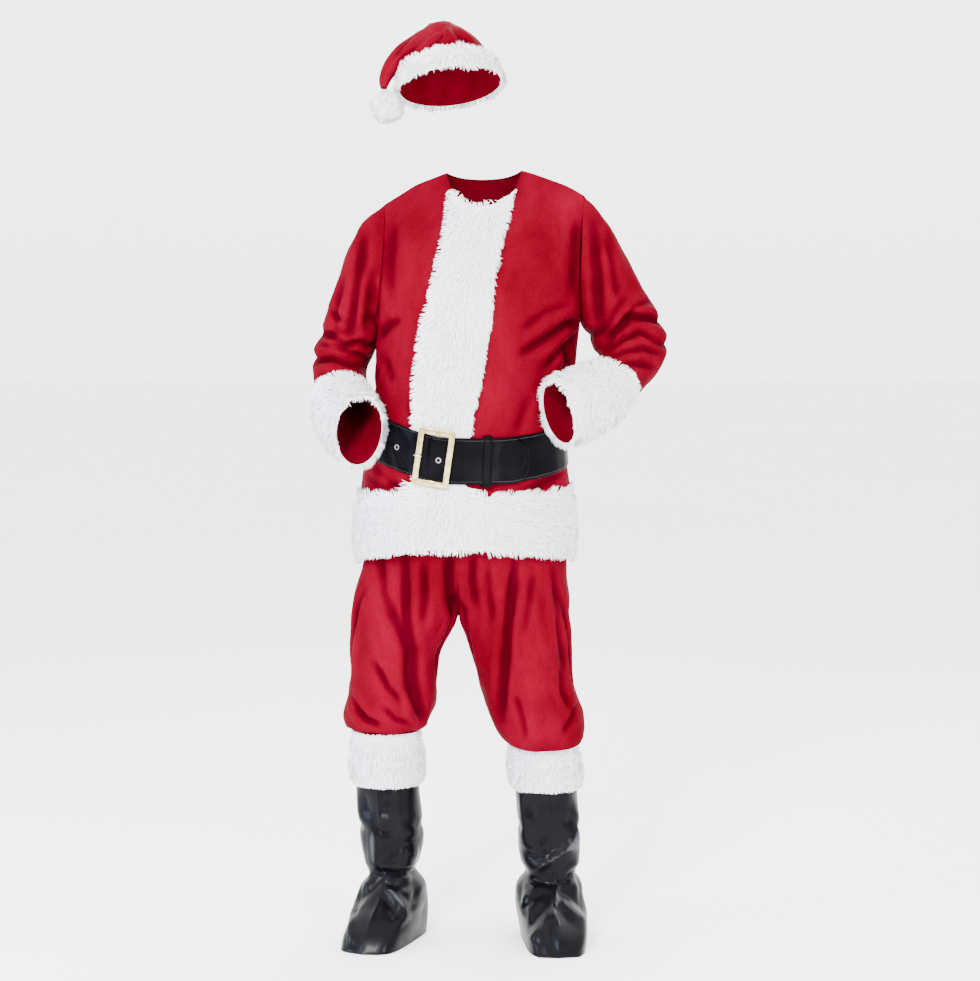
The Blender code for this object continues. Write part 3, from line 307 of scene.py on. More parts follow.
DOUBLES = 1e-5  # points of a CAD mesh this close are one
WALL_SLACK = 0.00003  # how exactly an edge across a wall has the wall's thickness


def only(*pieces):
    """Selects these pieces alone and makes the first one active."""
    bpy.ops.object.select_all(action="DESELECT")
    for piece in pieces:
        piece.select_set(True)
    bpy.context.view_layer.objects.active = pieces[0]


def new_piece(name, mesh, material):
    """An object for a mesh, with one material."""
    piece = bpy.data.objects.new(name, mesh)
    bpy.context.scene.collection.objects.link(piece)
    mesh.materials.clear()
    mesh.materials.append(material)
    return piece


def islands(bm, bend):
    """The stretches of faces that hang together without a bend sharper than this, the largest first."""
    left = set(bm.faces)
    found = []
    for start in bm.faces:
        if start not in left:
            continue
        left.discard(start)
        island = [start]
        for face in island:
            for edge in face.edges:
                if edge.calc_face_angle(0.0) > math.radians(bend):
                    continue
                for other in edge.link_faces:
                    if other in left:
                        left.discard(other)
                        island.append(other)
        found.append(island)
    return sorted(found, key=lambda island: -sum(f.calc_area() for f in island))


def skins(node, wall=0.0, bend=180):
    """The outside and the inside of a CAD wall as two meshes, parted at its rim.

    The rim is the faces with an edge as long as the wall is thick, or what lies past a bend in degrees.
    """
    bm = bmesh.new()
    bm.from_mesh(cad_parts[node].data)
    bmesh.ops.remove_doubles(bm, verts=bm.verts, dist=DOUBLES)
    rims = [f for f in bm.faces if any(abs(e.calc_length() - wall) < WALL_SLACK for e in f.edges)]
    bmesh.ops.delete(bm, geom=rims, context="FACES")
    bm.verts.index_update()
    meshes = []
    for island in islands(bm, bend)[:2]:
        part = bmesh.new()
        verts = {}
        for face in island:
            for v in face.verts:
                if v.index not in verts:
                    verts[v.index] = part.verts.new(v.co)
            part.faces.new([verts[v.index] for v in face.verts])
        part.normal_update()
        flat, square = math.radians(80), math.radians(150)
        bmesh.ops.join_triangles(
            part, faces=part.faces, angle_face_threshold=flat, angle_shape_threshold=square
        )
        mesh = bpy.data.meshes.new(node)
        part.to_mesh(mesh)
        part.free()
        meshes.append(mesh)
    bm.free()
    return meshes


def apply(piece, kind, **settings):
    """Adds a modifier to a piece and applies it."""
    modifier = piece.modifiers.new(kind.lower(), kind)
    for key, value in settings.items():
        setattr(modifier, key, value)
    only(piece)
    bpy.ops.object.modifier_apply(modifier=modifier.name)


def hold_seam(piece, partners):
    """Keeps the open edges that are sewn to these other CAD walls in place when the cloth is smoothed."""
    near = np.vstack([points_of(mesh)[0][edge_points(mesh)] for mesh in partners])
    points = points_of(piece.data)[0]
    away = {v: np.linalg.norm(near - points[v], axis=1).min() for v in edge_points(piece.data)}
    sewn = {v for v, gap in away.items() if gap < SEWN_REACH}
    crease = piece.data.attributes.new("crease_edge", "FLOAT", "EDGE")
    open_edges = edge_faces(piece.data)
    for edge in piece.data.edges:
        key = tuple(sorted(edge.vertices))
        if key in open_edges and sewn.issuperset(key):
            crease.data[edge.index].value = 1.0


def edge_distance(mesh, edges):
    """How far each vertex lies from the nearest of these edge vertices."""
    tree = KDTree(len(edges))
    for i in edges:
        tree.insert(mesh.vertices[i].co, i)
    tree.balance()
    return np.array([tree.find(v.co)[2] for v in mesh.vertices])


def hold_corners(piece):
    """Keeps the corners of a panel's outline as they are when the cloth is smoothed."""
    points = points_of(piece.data)[0]
    ways = {}
    for a, b in edge_faces(piece.data):
        ways.setdefault(a, []).append(points[b] - points[a])
        ways.setdefault(b, []).append(points[a] - points[b])
    crease = piece.data.attributes.new("crease_vert", "FLOAT", "POINT")
    for corner, (one, other) in ways.items():
        if one @ other > math.cos(CORNER_TURN) * np.linalg.norm(one) * np.linalg.norm(other):
            crease.data[corner].value = 1.0


def unit_rows(v):
    """Each row as a direction of length 1."""
    return v / np.maximum(np.linalg.norm(v, axis=1), 1e-9)[:, None]


def points_of(mesh):
    """A mesh's points and their normals."""
    points = np.empty(len(mesh.vertices) * 3)
    mesh.vertices.foreach_get("co", points)
    normals = np.empty(len(mesh.vertices) * 3)
    mesh.vertices.foreach_get("normal", normals)
    return points.reshape(-1, 3), normals.reshape(-1, 3)


def line_distance(places, line):
    """Distance of each flat place from a bent line, and its share of the way along it."""
    line = np.asarray(line, float)
    steps = np.linalg.norm(np.diff(line, axis=0), axis=1)
    starts = np.concatenate([[0.0], np.cumsum(steps)])
    best = np.full(len(places), 9.0)
    share = np.zeros(len(places))
    for i, step in enumerate(steps):
        way = line[i + 1] - line[i]
        along = np.clip((places - line[i]) @ way / (way @ way), 0, 1)
        away = np.linalg.norm(places - line[i] - along[:, None] * way, axis=1)
        nearer = away < best
        best[nearer] = away[nearer]
        share[nearer] = (starts[i] + along[nearer] * step) / starts[-1]
    return best, share


# the axis across the view, the axis of the outward normal and its sign
FACES = {"front": (0, 1, -1), "back": (0, 1, 1), "left": (1, 0, 1), "right": (1, 0, -1), "top": (0, 2, 1)}
FACING = 2.2  # how sharply a crease stops where the cloth turns away from its face
END_SHARE = 0.22  # the share of a crease's line over which either end fades to a quarter
SHARP_REACH = 1.7  # a sharp crease's reach to either side, in half widths
LIPS_AT, LIPS_WIDTH, LIPS_RISE = 2.1, 1.1, 0.38  # raised lips beside a soft crease, in half widths and depths


def crease_depths(points, normals, creases, sharp=False):
    """How far the creases sink each point. Each face has its creases: a half width, a depth and a line.

    A depth below 0 is a ridge. Sharp ones have straight sides, as in stiff vinyl.
    """
    depths = np.zeros(len(points))
    for face, rows in creases.items():
        across, axis, sign = FACES[face]
        facing = np.clip(sign * normals[:, axis] * FACING, 0, 1)
        places = points[:, (across, 2)]
        for width, depth, line in rows:
            away, share = line_distance(places, line)
            ends = np.clip(np.minimum(share, 1 - share) / END_SHARE, 0, 1) ** 0.7
            if sharp:
                section = np.clip(1 - away / (SHARP_REACH * width), 0, 1)
            else:
                lips = np.exp(-(((away - LIPS_AT * width) / (LIPS_WIDTH * width)) ** 2))
                section = np.exp(-((away / width) ** 2)) - LIPS_RISE * lips
            depths += facing * (0.25 + 0.75 * ends) * depth * section
    return depths


def unevenness(points, size, depth, seed):
    """Soft hollows and swellings all over a cloth."""
    offset = Vector((seed * 3.1, seed * 1.7, 0.0))
    values = [noise.noise(Vector(p) / size + offset) for p in points]
    return np.array(values) * depth


def edge_faces(mesh):
    """The open edges of a mesh, each with the face it bounds."""
    faces = {}
    for face in mesh.polygons:
        for key in face.edge_keys:
            faces.setdefault(key, []).append(face.index)
    return {key: found[0] for key, found in faces.items() if len(found) == 1}


def edge_points(mesh):
    """The vertices on the open edges of a mesh."""
    return sorted({v for key in edge_faces(mesh) for v in key})


def shell(node, material, levels):
    """A CAD wall's outside as a smooth sheet with no thickness."""
    cad_wall = CAD_WALLS["velour" if material is VELOUR else "vinyl"]
    piece = new_piece(f"{node}_cloth", skins(node, cad_wall)[0], material)
    hold_corners(piece)
    if node in SEWN_TO:
        hold_seam(piece, [skins(partner, cad_wall)[0] for partner in SEWN_TO[node]])
    apply(piece, "SUBSURF", levels=levels, render_levels=levels, boundary_smooth="PRESERVE_CORNERS")
    return piece


def share_seams(shells):
    """Each panel's normals, alike where two panels meet edge to edge, and the edge points that meet nothing.

    Narrow gaps between two panels are drawn shut on the way.
    """
    points, normals = zip(*(points_of(piece.data) for piece in shells))
    edges = [(k, i) for k, piece in enumerate(shells) for i in edge_points(piece.data)]
    marks = [(k, i, i) for k, i in edges]
    marks += [(k, i, j) for k, piece in enumerate(shells) for i, j in edge_faces(piece.data)]
    tree = KDTree(len(marks))
    for row, (k, i, j) in enumerate(marks):
        tree.insert((points[k][i] + points[k][j]) / 2, row)
    tree.balance()
    shared = [found.copy() for found in normals]
    free = [[] for _ in shells]
    for k, i in edges:
        near = [marks[row] for _, row, _ in tree.find_range(points[k][i], MEETING)]
        if all(m == k for m, _, _ in near):
            free[k].append(i)
        else:
            shared[k][i] = unit_rows(sum(normals[m][a] + normals[m][b] for m, a, b in near)[None])[0]
        places = {k: (0.0, points[k][i])}
        for place, row, gap in tree.find_range(points[k][i], SEAM_GAP):
            m = marks[row][0]
            places[m] = min(places.get(m, (gap, place)), (gap, place), key=lambda found: found[0])
        shells[k].data.vertices[i].co = sum(np.array(place) for _, place in places.values()) / len(places)
    return shared, free


def fur_walls():
    """The CAD walls of all fur bands as one tree, to find the cloth that they cover."""
    verts, faces = [], []
    for node, *_ in BANDS:
        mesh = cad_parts[node].data
        start = len(verts)
        verts += [v.co.copy() for v in mesh.vertices]
        faces += [[start + v for v in face.vertices] for face in mesh.polygons]
    return BVHTree.FromPolygons(verts, faces)


def crease(piece, normals, free, creases, rough_size, rough_depth, seed, seam):
    """Sinks the folds, the unevenness and the seams into a sheet, which never swells into the fur on it."""
    mesh = piece.data
    points = points_of(mesh)[0]
    floor_points = points + HOLD
    depths = crease_depths(floor_points, normals, creases, sharp=creases is BOOT_CREASES)
    depths += unevenness(floor_points, rough_size, rough_depth, seed)
    if free:
        depths *= np.clip(edge_distance(mesh, free) / SEAM_REACH, 0, 1)
    covered = [FUR_WALLS.find_nearest(point)[3] < FUR_COVERS for point in points]
    depths[covered] = np.maximum(depths[covered], 0.0)
    # painted shade: the sleeves and trousers get a darker fold value
    store_folds(mesh, depths, PAINTED_PANEL_SHADE.get(piece.name.split("_")[0], 0.0))
    depths[edge_points(mesh)] += seam
    points = points - normals * depths[:, None]
    mesh.vertices.foreach_set("co", points.ravel())
    mesh.update()


def store_folds(mesh, depths, panel_shade=0.0):
    """Stores how deep each point lies in a fold, -1 on a ridge and 1 in a hollow, plus a painted shade offset
    for the panel.
    """
    fold = mesh.attributes.new("fold", "FLOAT", "POINT")
    fold.data.foreach_set("value", np.clip(depths / FOLD_FULL + panel_shade, -1, 1))


def finish_cloth(piece, node, wall):
    """Gives a sheet its wall, smooths it and puts it in the CAD wall's place."""
    apply(piece, "SOLIDIFY", thickness=wall, offset=-1.0, use_rim=True)
    piece.data.shade_smooth()
    piece.data.set_sharp_from_angle(angle=math.radians(60))
    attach(piece, "root")
    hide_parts(node)


# each face's creases: half width, depth, and the line's places as x (y on the left and right) and height
JACKET_CREASES = {
    "front": (
        (0.0095, 0.0109, ((0.232, 1.236), (0.190, 1.222), (0.150, 1.196), (0.100, 1.168))),
        (0.0081, 0.0087, ((0.226, 1.220), (0.186, 1.182), (0.145, 1.135))),
        (0.0068, 0.0061, ((0.216, 1.200), (0.196, 1.168), (0.178, 1.132))),
        (0.0081, 0.0043, ((0.198, 1.262), (0.150, 1.248), (0.105, 1.216))),
        (0.0135, 0.0065, ((0.216, 1.440), (0.208, 1.370), (0.206, 1.290))),
        (0.0149, 0.0058, ((-0.150, 1.430), (-0.158, 1.350), (-0.156, 1.270))),
        (0.0095, 0.0065, ((-0.186, 1.196), (-0.160, 1.222), (-0.132, 1.236))),
        (0.0095, 0.0051, ((-0.188, 1.170), (-0.165, 1.150), (-0.150, 1.110))),
        (0.0121, 0.0043, ((-0.120, 1.080), (-0.105, 1.045), (-0.100, 1.020))),
        (0.0108, 0.0051, ((0.120, 1.090), (0.105, 1.050), (0.090, 1.015))),
        (0.0095, 0.0058, ((-0.205, 0.925), (-0.170, 0.905), (-0.130, 0.912))),
        (0.0081, 0.0051, ((-0.190, 0.945), (-0.160, 0.925), (-0.140, 0.905))),
        (0.0108, 0.0058, ((0.190, 0.935), (0.150, 0.915), (0.110, 0.900))),
        (0.0108, 0.0036, ((0.060, 0.925), (0.030, 0.905), (0.010, 0.898))),
    ),
    "back": (
        (0.0130, 0.0080, ((-0.205, 1.190), (-0.160, 1.216), (-0.100, 1.208), (-0.040, 1.168))),
        (0.0110, 0.0060, ((-0.196, 1.150), (-0.150, 1.166), (-0.100, 1.150))),
        (0.0130, 0.0080, ((0.230, 1.226), (0.185, 1.238), (0.125, 1.206), (0.060, 1.150))),
        (0.0110, 0.0060, ((0.216, 1.190), (0.180, 1.168), (0.145, 1.110))),
        (0.0160, 0.0060, ((-0.140, 1.410), (-0.122, 1.340), (-0.112, 1.260), (-0.116, 1.220))),
        (0.0160, 0.0060, ((0.182, 1.420), (0.164, 1.350), (0.158, 1.280), (0.150, 1.240))),
        (0.0180, 0.0045, ((0.010, 1.360), (0.016, 1.290), (0.006, 1.210))),
        (0.0140, 0.0065, ((-0.170, 1.110), (-0.100, 1.052), (-0.020, 1.040), (0.030, 1.056))),
        (0.0130, 0.0060, ((0.180, 1.110), (0.110, 1.060), (0.040, 1.034))),
        (0.0110, 0.0050, ((-0.190, 0.930), (-0.100, 0.902), (0.000, 0.912))),
        (0.0110, 0.0050, ((0.180, 0.936), (0.110, 0.904), (0.050, 0.898))),
    ),
    "left": (
        (0.0108, 0.0072, ((-0.060, 1.180), (-0.010, 1.120), (0.020, 1.060))),
    ),
    "right": (
        (0.0108, 0.0072, ((-0.050, 1.140), (0.000, 1.090), (0.030, 1.050))),
    ),
}
SLEEVE_CREASES = {
    "front": (
        # wearer's right
        (0.0106, 0.0077, ((-0.208, 1.400), (-0.218, 1.320), (-0.232, 1.235), (-0.238, 1.200))),
        (0.0088, 0.0063, ((-0.190, 1.330), (-0.196, 1.270), (-0.204, 1.215))),
        (0.0088, 0.0063, ((-0.246, 1.320), (-0.262, 1.260), (-0.266, 1.210))),
        (0.0060, 0.0070, ((-0.312, 1.226), (-0.278, 1.202), (-0.244, 1.182), (-0.208, 1.190))),
        (0.0052, 0.0059, ((-0.312, 1.182), (-0.270, 1.184), (-0.238, 1.170), (-0.206, 1.158))),
        (0.0052, 0.0050, ((-0.306, 1.150), (-0.272, 1.158), (-0.244, 1.150), (-0.218, 1.140))),
        (0.0056, 0.0050, ((-0.300, 1.120), (-0.266, 1.126), (-0.236, 1.118))),
        (0.0063, 0.0042, ((-0.292, 1.260), (-0.262, 1.238), (-0.240, 1.226))),
        # wearer's left
        (0.0106, 0.0077, ((0.243, 1.420), (0.250, 1.330), (0.252, 1.260), (0.262, 1.200))),
        (0.0088, 0.0049, ((0.268, 1.400), (0.284, 1.320), (0.292, 1.270))),
        (0.0069, 0.0081, ((0.262, 1.172), (0.285, 1.208), (0.316, 1.240), (0.360, 1.238), (0.392, 1.222))),
        (0.0063, 0.0070, ((0.262, 1.162), (0.300, 1.196), (0.335, 1.210), (0.372, 1.196))),
        (0.0057, 0.0062, ((0.264, 1.152), (0.300, 1.172), (0.340, 1.180), (0.378, 1.166))),
        (0.0055, 0.0053, ((0.272, 1.140), (0.308, 1.150), (0.345, 1.146), (0.368, 1.134))),
        (0.0069, 0.0050, ((0.268, 1.210), (0.284, 1.246), (0.308, 1.276))),
        (0.0057, 0.0048, ((0.302, 1.230), (0.330, 1.262), (0.356, 1.270))),
    ),
    "back": (
        (0.0100, 0.0077, ((-0.215, 1.390), (-0.232, 1.310), (-0.250, 1.240))),
        (0.0075, 0.0070, ((-0.210, 1.190), (-0.250, 1.205), (-0.295, 1.190))),
        (0.0069, 0.0059, ((-0.212, 1.160), (-0.250, 1.168), (-0.290, 1.150))),
        (0.0100, 0.0077, ((0.246, 1.400), (0.268, 1.320), (0.290, 1.250))),
        (0.0075, 0.0070, ((0.262, 1.190), (0.310, 1.215), (0.365, 1.200))),
        (0.0069, 0.0059, ((0.266, 1.160), (0.310, 1.178), (0.365, 1.160))),
    ),
    "left": (
        (0.0088, 0.0063, ((-0.050, 1.240), (0.000, 1.225), (0.040, 1.245))),
        (0.0075, 0.0056, ((-0.060, 1.190), (-0.020, 1.180), (0.030, 1.200))),
    ),
    "right": (
        (0.0088, 0.0063, ((-0.040, 1.210), (0.010, 1.196), (0.050, 1.220))),
        (0.0075, 0.0056, ((-0.050, 1.160), (-0.010, 1.150), (0.040, 1.165))),
    ),
}
TROUSER_CREASES = {
    "front": (
        # wearer's right leg
        (0.0101, 0.0078, ((-0.176, 0.775), (-0.168, 0.700), (-0.150, 0.640), (-0.136, 0.600))),
        (0.0108, 0.0124, ((-0.128, 0.775), (-0.126, 0.660), (-0.113, 0.580), (-0.108, 0.515), (-0.090, 0.452))),
        (0.0081, 0.0062, ((-0.152, 0.740), (-0.146, 0.660), (-0.128, 0.590), (-0.118, 0.540))),
        (0.0081, 0.0070, ((-0.092, 0.760), (-0.088, 0.690), (-0.092, 0.630))),
        (0.0081, 0.0085, ((-0.128, 0.560), (-0.120, 0.510), (-0.104, 0.468), (-0.094, 0.440))),
        (0.0068, 0.0065, ((-0.190, 0.560), (-0.160, 0.510), (-0.130, 0.480))),
        (0.0062, 0.0065, ((-0.238, 0.486), (-0.222, 0.462), (-0.204, 0.446), (-0.180, 0.440))),
        (0.0062, 0.0062, ((-0.226, 0.462), (-0.206, 0.440), (-0.176, 0.432))),
        (0.0062, 0.0056, ((-0.170, 0.470), (-0.146, 0.446), (-0.116, 0.436))),
        # middle seam and the wearer's left leg
        (0.0095, 0.0109, ((-0.040, 0.780), (-0.039, 0.715), (-0.034, 0.665), (-0.026, 0.650))),
        (0.0095, 0.0078, ((0.008, 0.775), (0.006, 0.720), (0.010, 0.672))),
        (0.0081, 0.0054, ((0.034, 0.760), (0.038, 0.700), (0.046, 0.640))),
        (0.0101, 0.0109, ((0.092, 0.775), (0.080, 0.665), (0.070, 0.570), (0.062, 0.480), (0.060, 0.445))),
        (0.0081, 0.0054, ((0.125, 0.740), (0.112, 0.660), (0.100, 0.600))),
        (0.0068, 0.0054, ((0.166, 0.740), (0.176, 0.640), (0.186, 0.560), (0.198, 0.500))),
        (0.0062, 0.0062, ((0.178, 0.545), (0.184, 0.500), (0.200, 0.462))),
        (0.0062, 0.0056, ((0.216, 0.470), (0.200, 0.440), (0.184, 0.420))),
        (0.0068, 0.0056, ((0.086, 0.500), (0.104, 0.450), (0.110, 0.410))),
    ),
    "back": (
        (0.0130, 0.0090, ((-0.150, 0.780), (-0.136, 0.700), (-0.106, 0.630), (-0.090, 0.560))),
        (0.0130, 0.0090, ((0.120, 0.780), (0.106, 0.700), (0.080, 0.630), (0.072, 0.550))),
        (0.0110, 0.0060, ((-0.200, 0.760), (-0.196, 0.680), (-0.186, 0.600))),
        (0.0110, 0.0060, ((0.170, 0.760), (0.172, 0.680), (0.180, 0.590))),
        (0.0100, 0.0060, ((-0.070, 0.750), (-0.060, 0.700), (-0.044, 0.660))),
        (0.0110, 0.0070, ((-0.225, 0.640), (-0.180, 0.560), (-0.130, 0.500), (-0.100, 0.470))),
        (0.0110, 0.0070, ((0.200, 0.640), (0.150, 0.560), (0.100, 0.500), (0.080, 0.460))),
        (0.0090, 0.0055, ((-0.215, 0.500), (-0.170, 0.452), (-0.110, 0.446))),
        (0.0090, 0.0055, ((0.070, 0.452), (0.120, 0.426), (0.190, 0.440))),
    ),
    "right": (
        (0.0095, 0.0070, ((-0.060, 0.700), (-0.030, 0.600), (0.000, 0.520))),
        (0.0081, 0.0062, ((0.060, 0.560), (0.030, 0.500), (0.010, 0.450))),
    ),
    "left": (
        (0.0095, 0.0070, ((-0.060, 0.700), (-0.030, 0.600), (-0.010, 0.500))),
        (0.0081, 0.0062, ((0.060, 0.540), (0.030, 0.480), (0.000, 0.430))),
    ),
}
HAT_CREASES = {
    "top": (
        (0.0300, -0.0090, ((-0.085, 1.800), (-0.060, 1.818), (-0.035, 1.812))),
        (0.0070, 0.0040, ((-0.066, 1.822), (-0.052, 1.822))),
    ),
    "front": (
        (0.0060, 0.0084, ((-0.050, 1.806), (-0.056, 1.785), (-0.074, 1.762), (-0.100, 1.748))),
        (0.0060, 0.0063, ((-0.036, 1.806), (-0.020, 1.786), (0.006, 1.770))),
        (0.0050, 0.0045, ((-0.112, 1.796), (-0.136, 1.768), (-0.152, 1.738))),
        (0.0050, 0.0042, ((-0.100, 1.770), (-0.126, 1.750), (-0.142, 1.730))),
    ),
    "back": (
        (0.0070, 0.0070, ((-0.040, 1.810), (-0.030, 1.780), (-0.010, 1.760))),
        (0.0070, 0.0070, ((-0.090, 1.800), (-0.130, 1.765), (-0.155, 1.720))),
    ),
}
BOOT_CREASES = {
    "front": (
        # wearer's right boot: the pocket at the top, the shin's ridge, the ankle's knot and the foot
        (0.010, -0.0050, ((-0.228, 0.295), (-0.222, 0.250), (-0.212, 0.236), (-0.200, 0.232))),
        (0.012, 0.0050, ((-0.212, 0.290), (-0.206, 0.262), (-0.198, 0.248))),
        (0.009, -0.0060, ((-0.193, 0.236), (-0.191, 0.164), (-0.188, 0.138))),
        (0.007, 0.0050, ((-0.188, 0.232), (-0.175, 0.221), (-0.156, 0.221))),
        (0.016, -0.0060, ((-0.180, 0.250), (-0.158, 0.245))),
        (0.010, 0.0055, ((-0.174, 0.168), (-0.144, 0.186), (-0.112, 0.191), (-0.088, 0.180))),
        (0.016, -0.0050, ((-0.130, 0.166), (-0.104, 0.160))),
        (0.006, -0.0050, ((-0.180, 0.144), (-0.134, 0.143), (-0.106, 0.137))),
        (0.006, 0.0065, ((-0.184, 0.135), (-0.140, 0.134), (-0.104, 0.129))),
        (0.006, -0.0050, ((-0.168, 0.123), (-0.144, 0.126), (-0.112, 0.118))),
        (0.007, 0.0060, ((-0.172, 0.112), (-0.140, 0.113), (-0.108, 0.103))),
        (0.012, 0.0070, ((-0.184, 0.123), (-0.176, 0.118))),
        (0.008, -0.0075, ((-0.176, 0.116), (-0.148, 0.090), (-0.131, 0.072), (-0.128, 0.058), (-0.142, 0.048))),
        (0.008, 0.0050, ((-0.168, 0.094), (-0.150, 0.074), (-0.144, 0.060))),
        (0.007, 0.0070, ((-0.184, 0.114), (-0.198, 0.102), (-0.212, 0.093), (-0.228, 0.080), (-0.235, 0.060))),
        (0.006, -0.0045, ((-0.233, 0.062), (-0.236, 0.045), (-0.232, 0.030), (-0.233, 0.008))),
        (0.010, -0.0050, ((-0.126, 0.077), (-0.092, 0.060))),
        # wearer's left boot: the slanting fold over the shin, the ankle's knot and the foot's gathered seam
        (0.010, -0.0045, ((0.098, 0.294), (0.111, 0.234), (0.101, 0.198))),
        (0.010, 0.0040, ((0.116, 0.280), (0.122, 0.240), (0.114, 0.210))),
        (0.008, 0.0070, ((0.093, 0.175), (0.136, 0.164), (0.152, 0.170), (0.167, 0.178), (0.198, 0.193))),
        (0.009, -0.0065, ((0.111, 0.128), (0.131, 0.138), (0.149, 0.156), (0.167, 0.167), (0.223, 0.198))),
        (0.009, -0.0055, ((0.218, 0.261), (0.213, 0.214), (0.200, 0.173))),
        (0.014, -0.0055, ((0.140, 0.186), (0.156, 0.184))),
        (0.006, 0.0070, ((0.106, 0.120), (0.136, 0.118), (0.172, 0.115), (0.192, 0.120), (0.213, 0.136))),
        (0.006, -0.0050, ((0.186, 0.128), (0.200, 0.138), (0.218, 0.146))),
        (0.008, -0.0065, ((0.138, 0.107), (0.111, 0.084), (0.088, 0.060))),
        (0.006, 0.0045, ((0.142, 0.098), (0.114, 0.078), (0.092, 0.055))),
        (0.008, -0.0055, ((0.141, 0.089), (0.117, 0.071), (0.093, 0.048))),
        (0.012, 0.0050, ((0.150, 0.080), (0.126, 0.055), (0.104, 0.035))),
        (0.009, -0.0065, ((0.168, 0.070), (0.143, 0.050), (0.112, 0.022))),
        (0.009, 0.0055, ((0.178, 0.106), (0.204, 0.090), (0.228, 0.074))),
        (0.009, -0.0065, ((0.176, 0.089), (0.201, 0.070), (0.232, 0.050))),
        (0.006, -0.0060, ((0.170, 0.127), (0.173, 0.090), (0.168, 0.070), (0.176, 0.052), (0.173, 0.030))),
        (0.007, 0.0060, ((0.161, 0.058), (0.153, 0.042), (0.161, 0.020), (0.166, 0.006))),
    ),
    "back": (
        # both boots behind and at the sides, where the ankle is pulled in
        (0.0070, 0.0060, ((-0.205, 0.130), (-0.155, 0.138), (-0.105, 0.132))),
        (0.0070, -0.0050, ((-0.210, 0.150), (-0.160, 0.156), (-0.110, 0.148))),
        (0.0070, 0.0050, ((-0.200, 0.196), (-0.160, 0.176), (-0.120, 0.192))),
        (0.0080, -0.0050, ((-0.190, 0.250), (-0.176, 0.216), (-0.130, 0.204))),
        (0.0070, 0.0060, ((0.110, 0.126), (0.160, 0.132), (0.215, 0.126))),
        (0.0070, -0.0050, ((0.115, 0.146), (0.165, 0.152), (0.210, 0.140))),
        (0.0070, 0.0050, ((0.115, 0.190), (0.160, 0.170), (0.210, 0.186))),
        (0.0080, -0.0050, ((0.130, 0.250), (0.150, 0.214), (0.200, 0.206))),
    ),
    "left": (
        (0.0110, 0.0080, ((-0.080, 0.130), (-0.020, 0.125), (0.045, 0.130))),
        (0.0110, -0.0040, ((-0.070, 0.100), (-0.020, 0.098), (0.030, 0.100))),
        (0.0080, 0.0050, ((-0.120, 0.060), (-0.070, 0.082), (-0.030, 0.112))),
        (0.0080, 0.0045, ((-0.060, 0.240), (-0.020, 0.216), (0.030, 0.224))),
    ),
    "right": (
        (0.0110, 0.0080, ((-0.080, 0.130), (-0.020, 0.126), (0.045, 0.130))),
        (0.0110, -0.0040, ((-0.070, 0.100), (-0.020, 0.098), (0.030, 0.100))),
        (0.0080, 0.0050, ((-0.120, 0.060), (-0.070, 0.082), (-0.030, 0.112))),
        (0.0080, 0.0045, ((-0.050, 0.214), (0.000, 0.226), (0.040, 0.206))),
    ),
}

# the panels that each of these is set in between
SEWN_TO = {
    "jacket_front_right": ("sleeve_right",),
    "jacket_front_left": ("sleeve_left",),
    "jacket_back": ("sleeve_right", "sleeve_left"),
    "sleeve_right": ("jacket_front_right", "jacket_back"),
    "sleeve_left": ("jacket_front_left", "jacket_back"),
}
SEWN_REACH = 0.004  # an edge this near a panel of SEWN_TO is sewn to it
SEAM_REACH = 0.009  # creases fade out towards an open edge over this width
FUR_COVERS = 0.005  # cloth this near a fur band's CAD wall lies under it
PAINTED_PANEL_SHADE = {"sleeve": 0.32, "trouser": 0.18}  # painted shade: added to the fold value of these panels, so that the velour finish darkens them
FOLD_FULL = 0.0075  # a fold this deep takes the full painted shade, and on vinyl a ridge this high the full painted highlight
MEETING = 0.0006  # edges that lie this close are sewn edge to edge
SEAM_GAP = 0.0024  # and gaps up to this wide are drawn shut
CORNER_TURN = math.radians(130)  # an outline that turns back more sharply than this has a corner
# node, levels, creases, size, depth and seed of the unevenness, depth of the seams
CLOTHS = (
    ("jacket_front_right", 3, JACKET_CREASES, 0.060, 0.0026, 1, 0.0003),
    ("jacket_front_left", 3, JACKET_CREASES, 0.060, 0.0026, 1, 0.0003),
    ("jacket_back", 2, JACKET_CREASES, 0.060, 0.0026, 1, 0.0003),
    ("sleeve_right", 3, SLEEVE_CREASES, 0.040, 0.0026, 2, 0.0002),
    ("sleeve_left", 3, SLEEVE_CREASES, 0.040, 0.0026, 2, 0.0002),
    ("trouser_front_right", 3, TROUSER_CREASES, 0.045, 0.0028, 3, 0.0008),
    ("trouser_front_left", 3, TROUSER_CREASES, 0.045, 0.0028, 3, 0.0008),
    ("trouser_back_right", 2, TROUSER_CREASES, 0.045, 0.0028, 3, 0.0008),
    ("trouser_back_left", 2, TROUSER_CREASES, 0.045, 0.0028, 3, 0.0008),
    ("trouser_waistband", 2, {}, 0.040, 0.0008, 4, 0.0004),
    ("hat_crown", 2, HAT_CREASES, 0.035, 0.0020, 5, 0.0006),
    ("boot_cover_right_inner", 3, BOOT_CREASES, 0.050, 0.0024, 6, -0.0008),
    ("boot_cover_right_outer", 3, BOOT_CREASES, 0.050, 0.0024, 6, -0.0008),
    ("boot_cover_left_inner", 3, BOOT_CREASES, 0.050, 0.0024, 7, -0.0008),
    ("boot_cover_left_outer", 3, BOOT_CREASES, 0.050, 0.0024, 7, -0.0008),
)


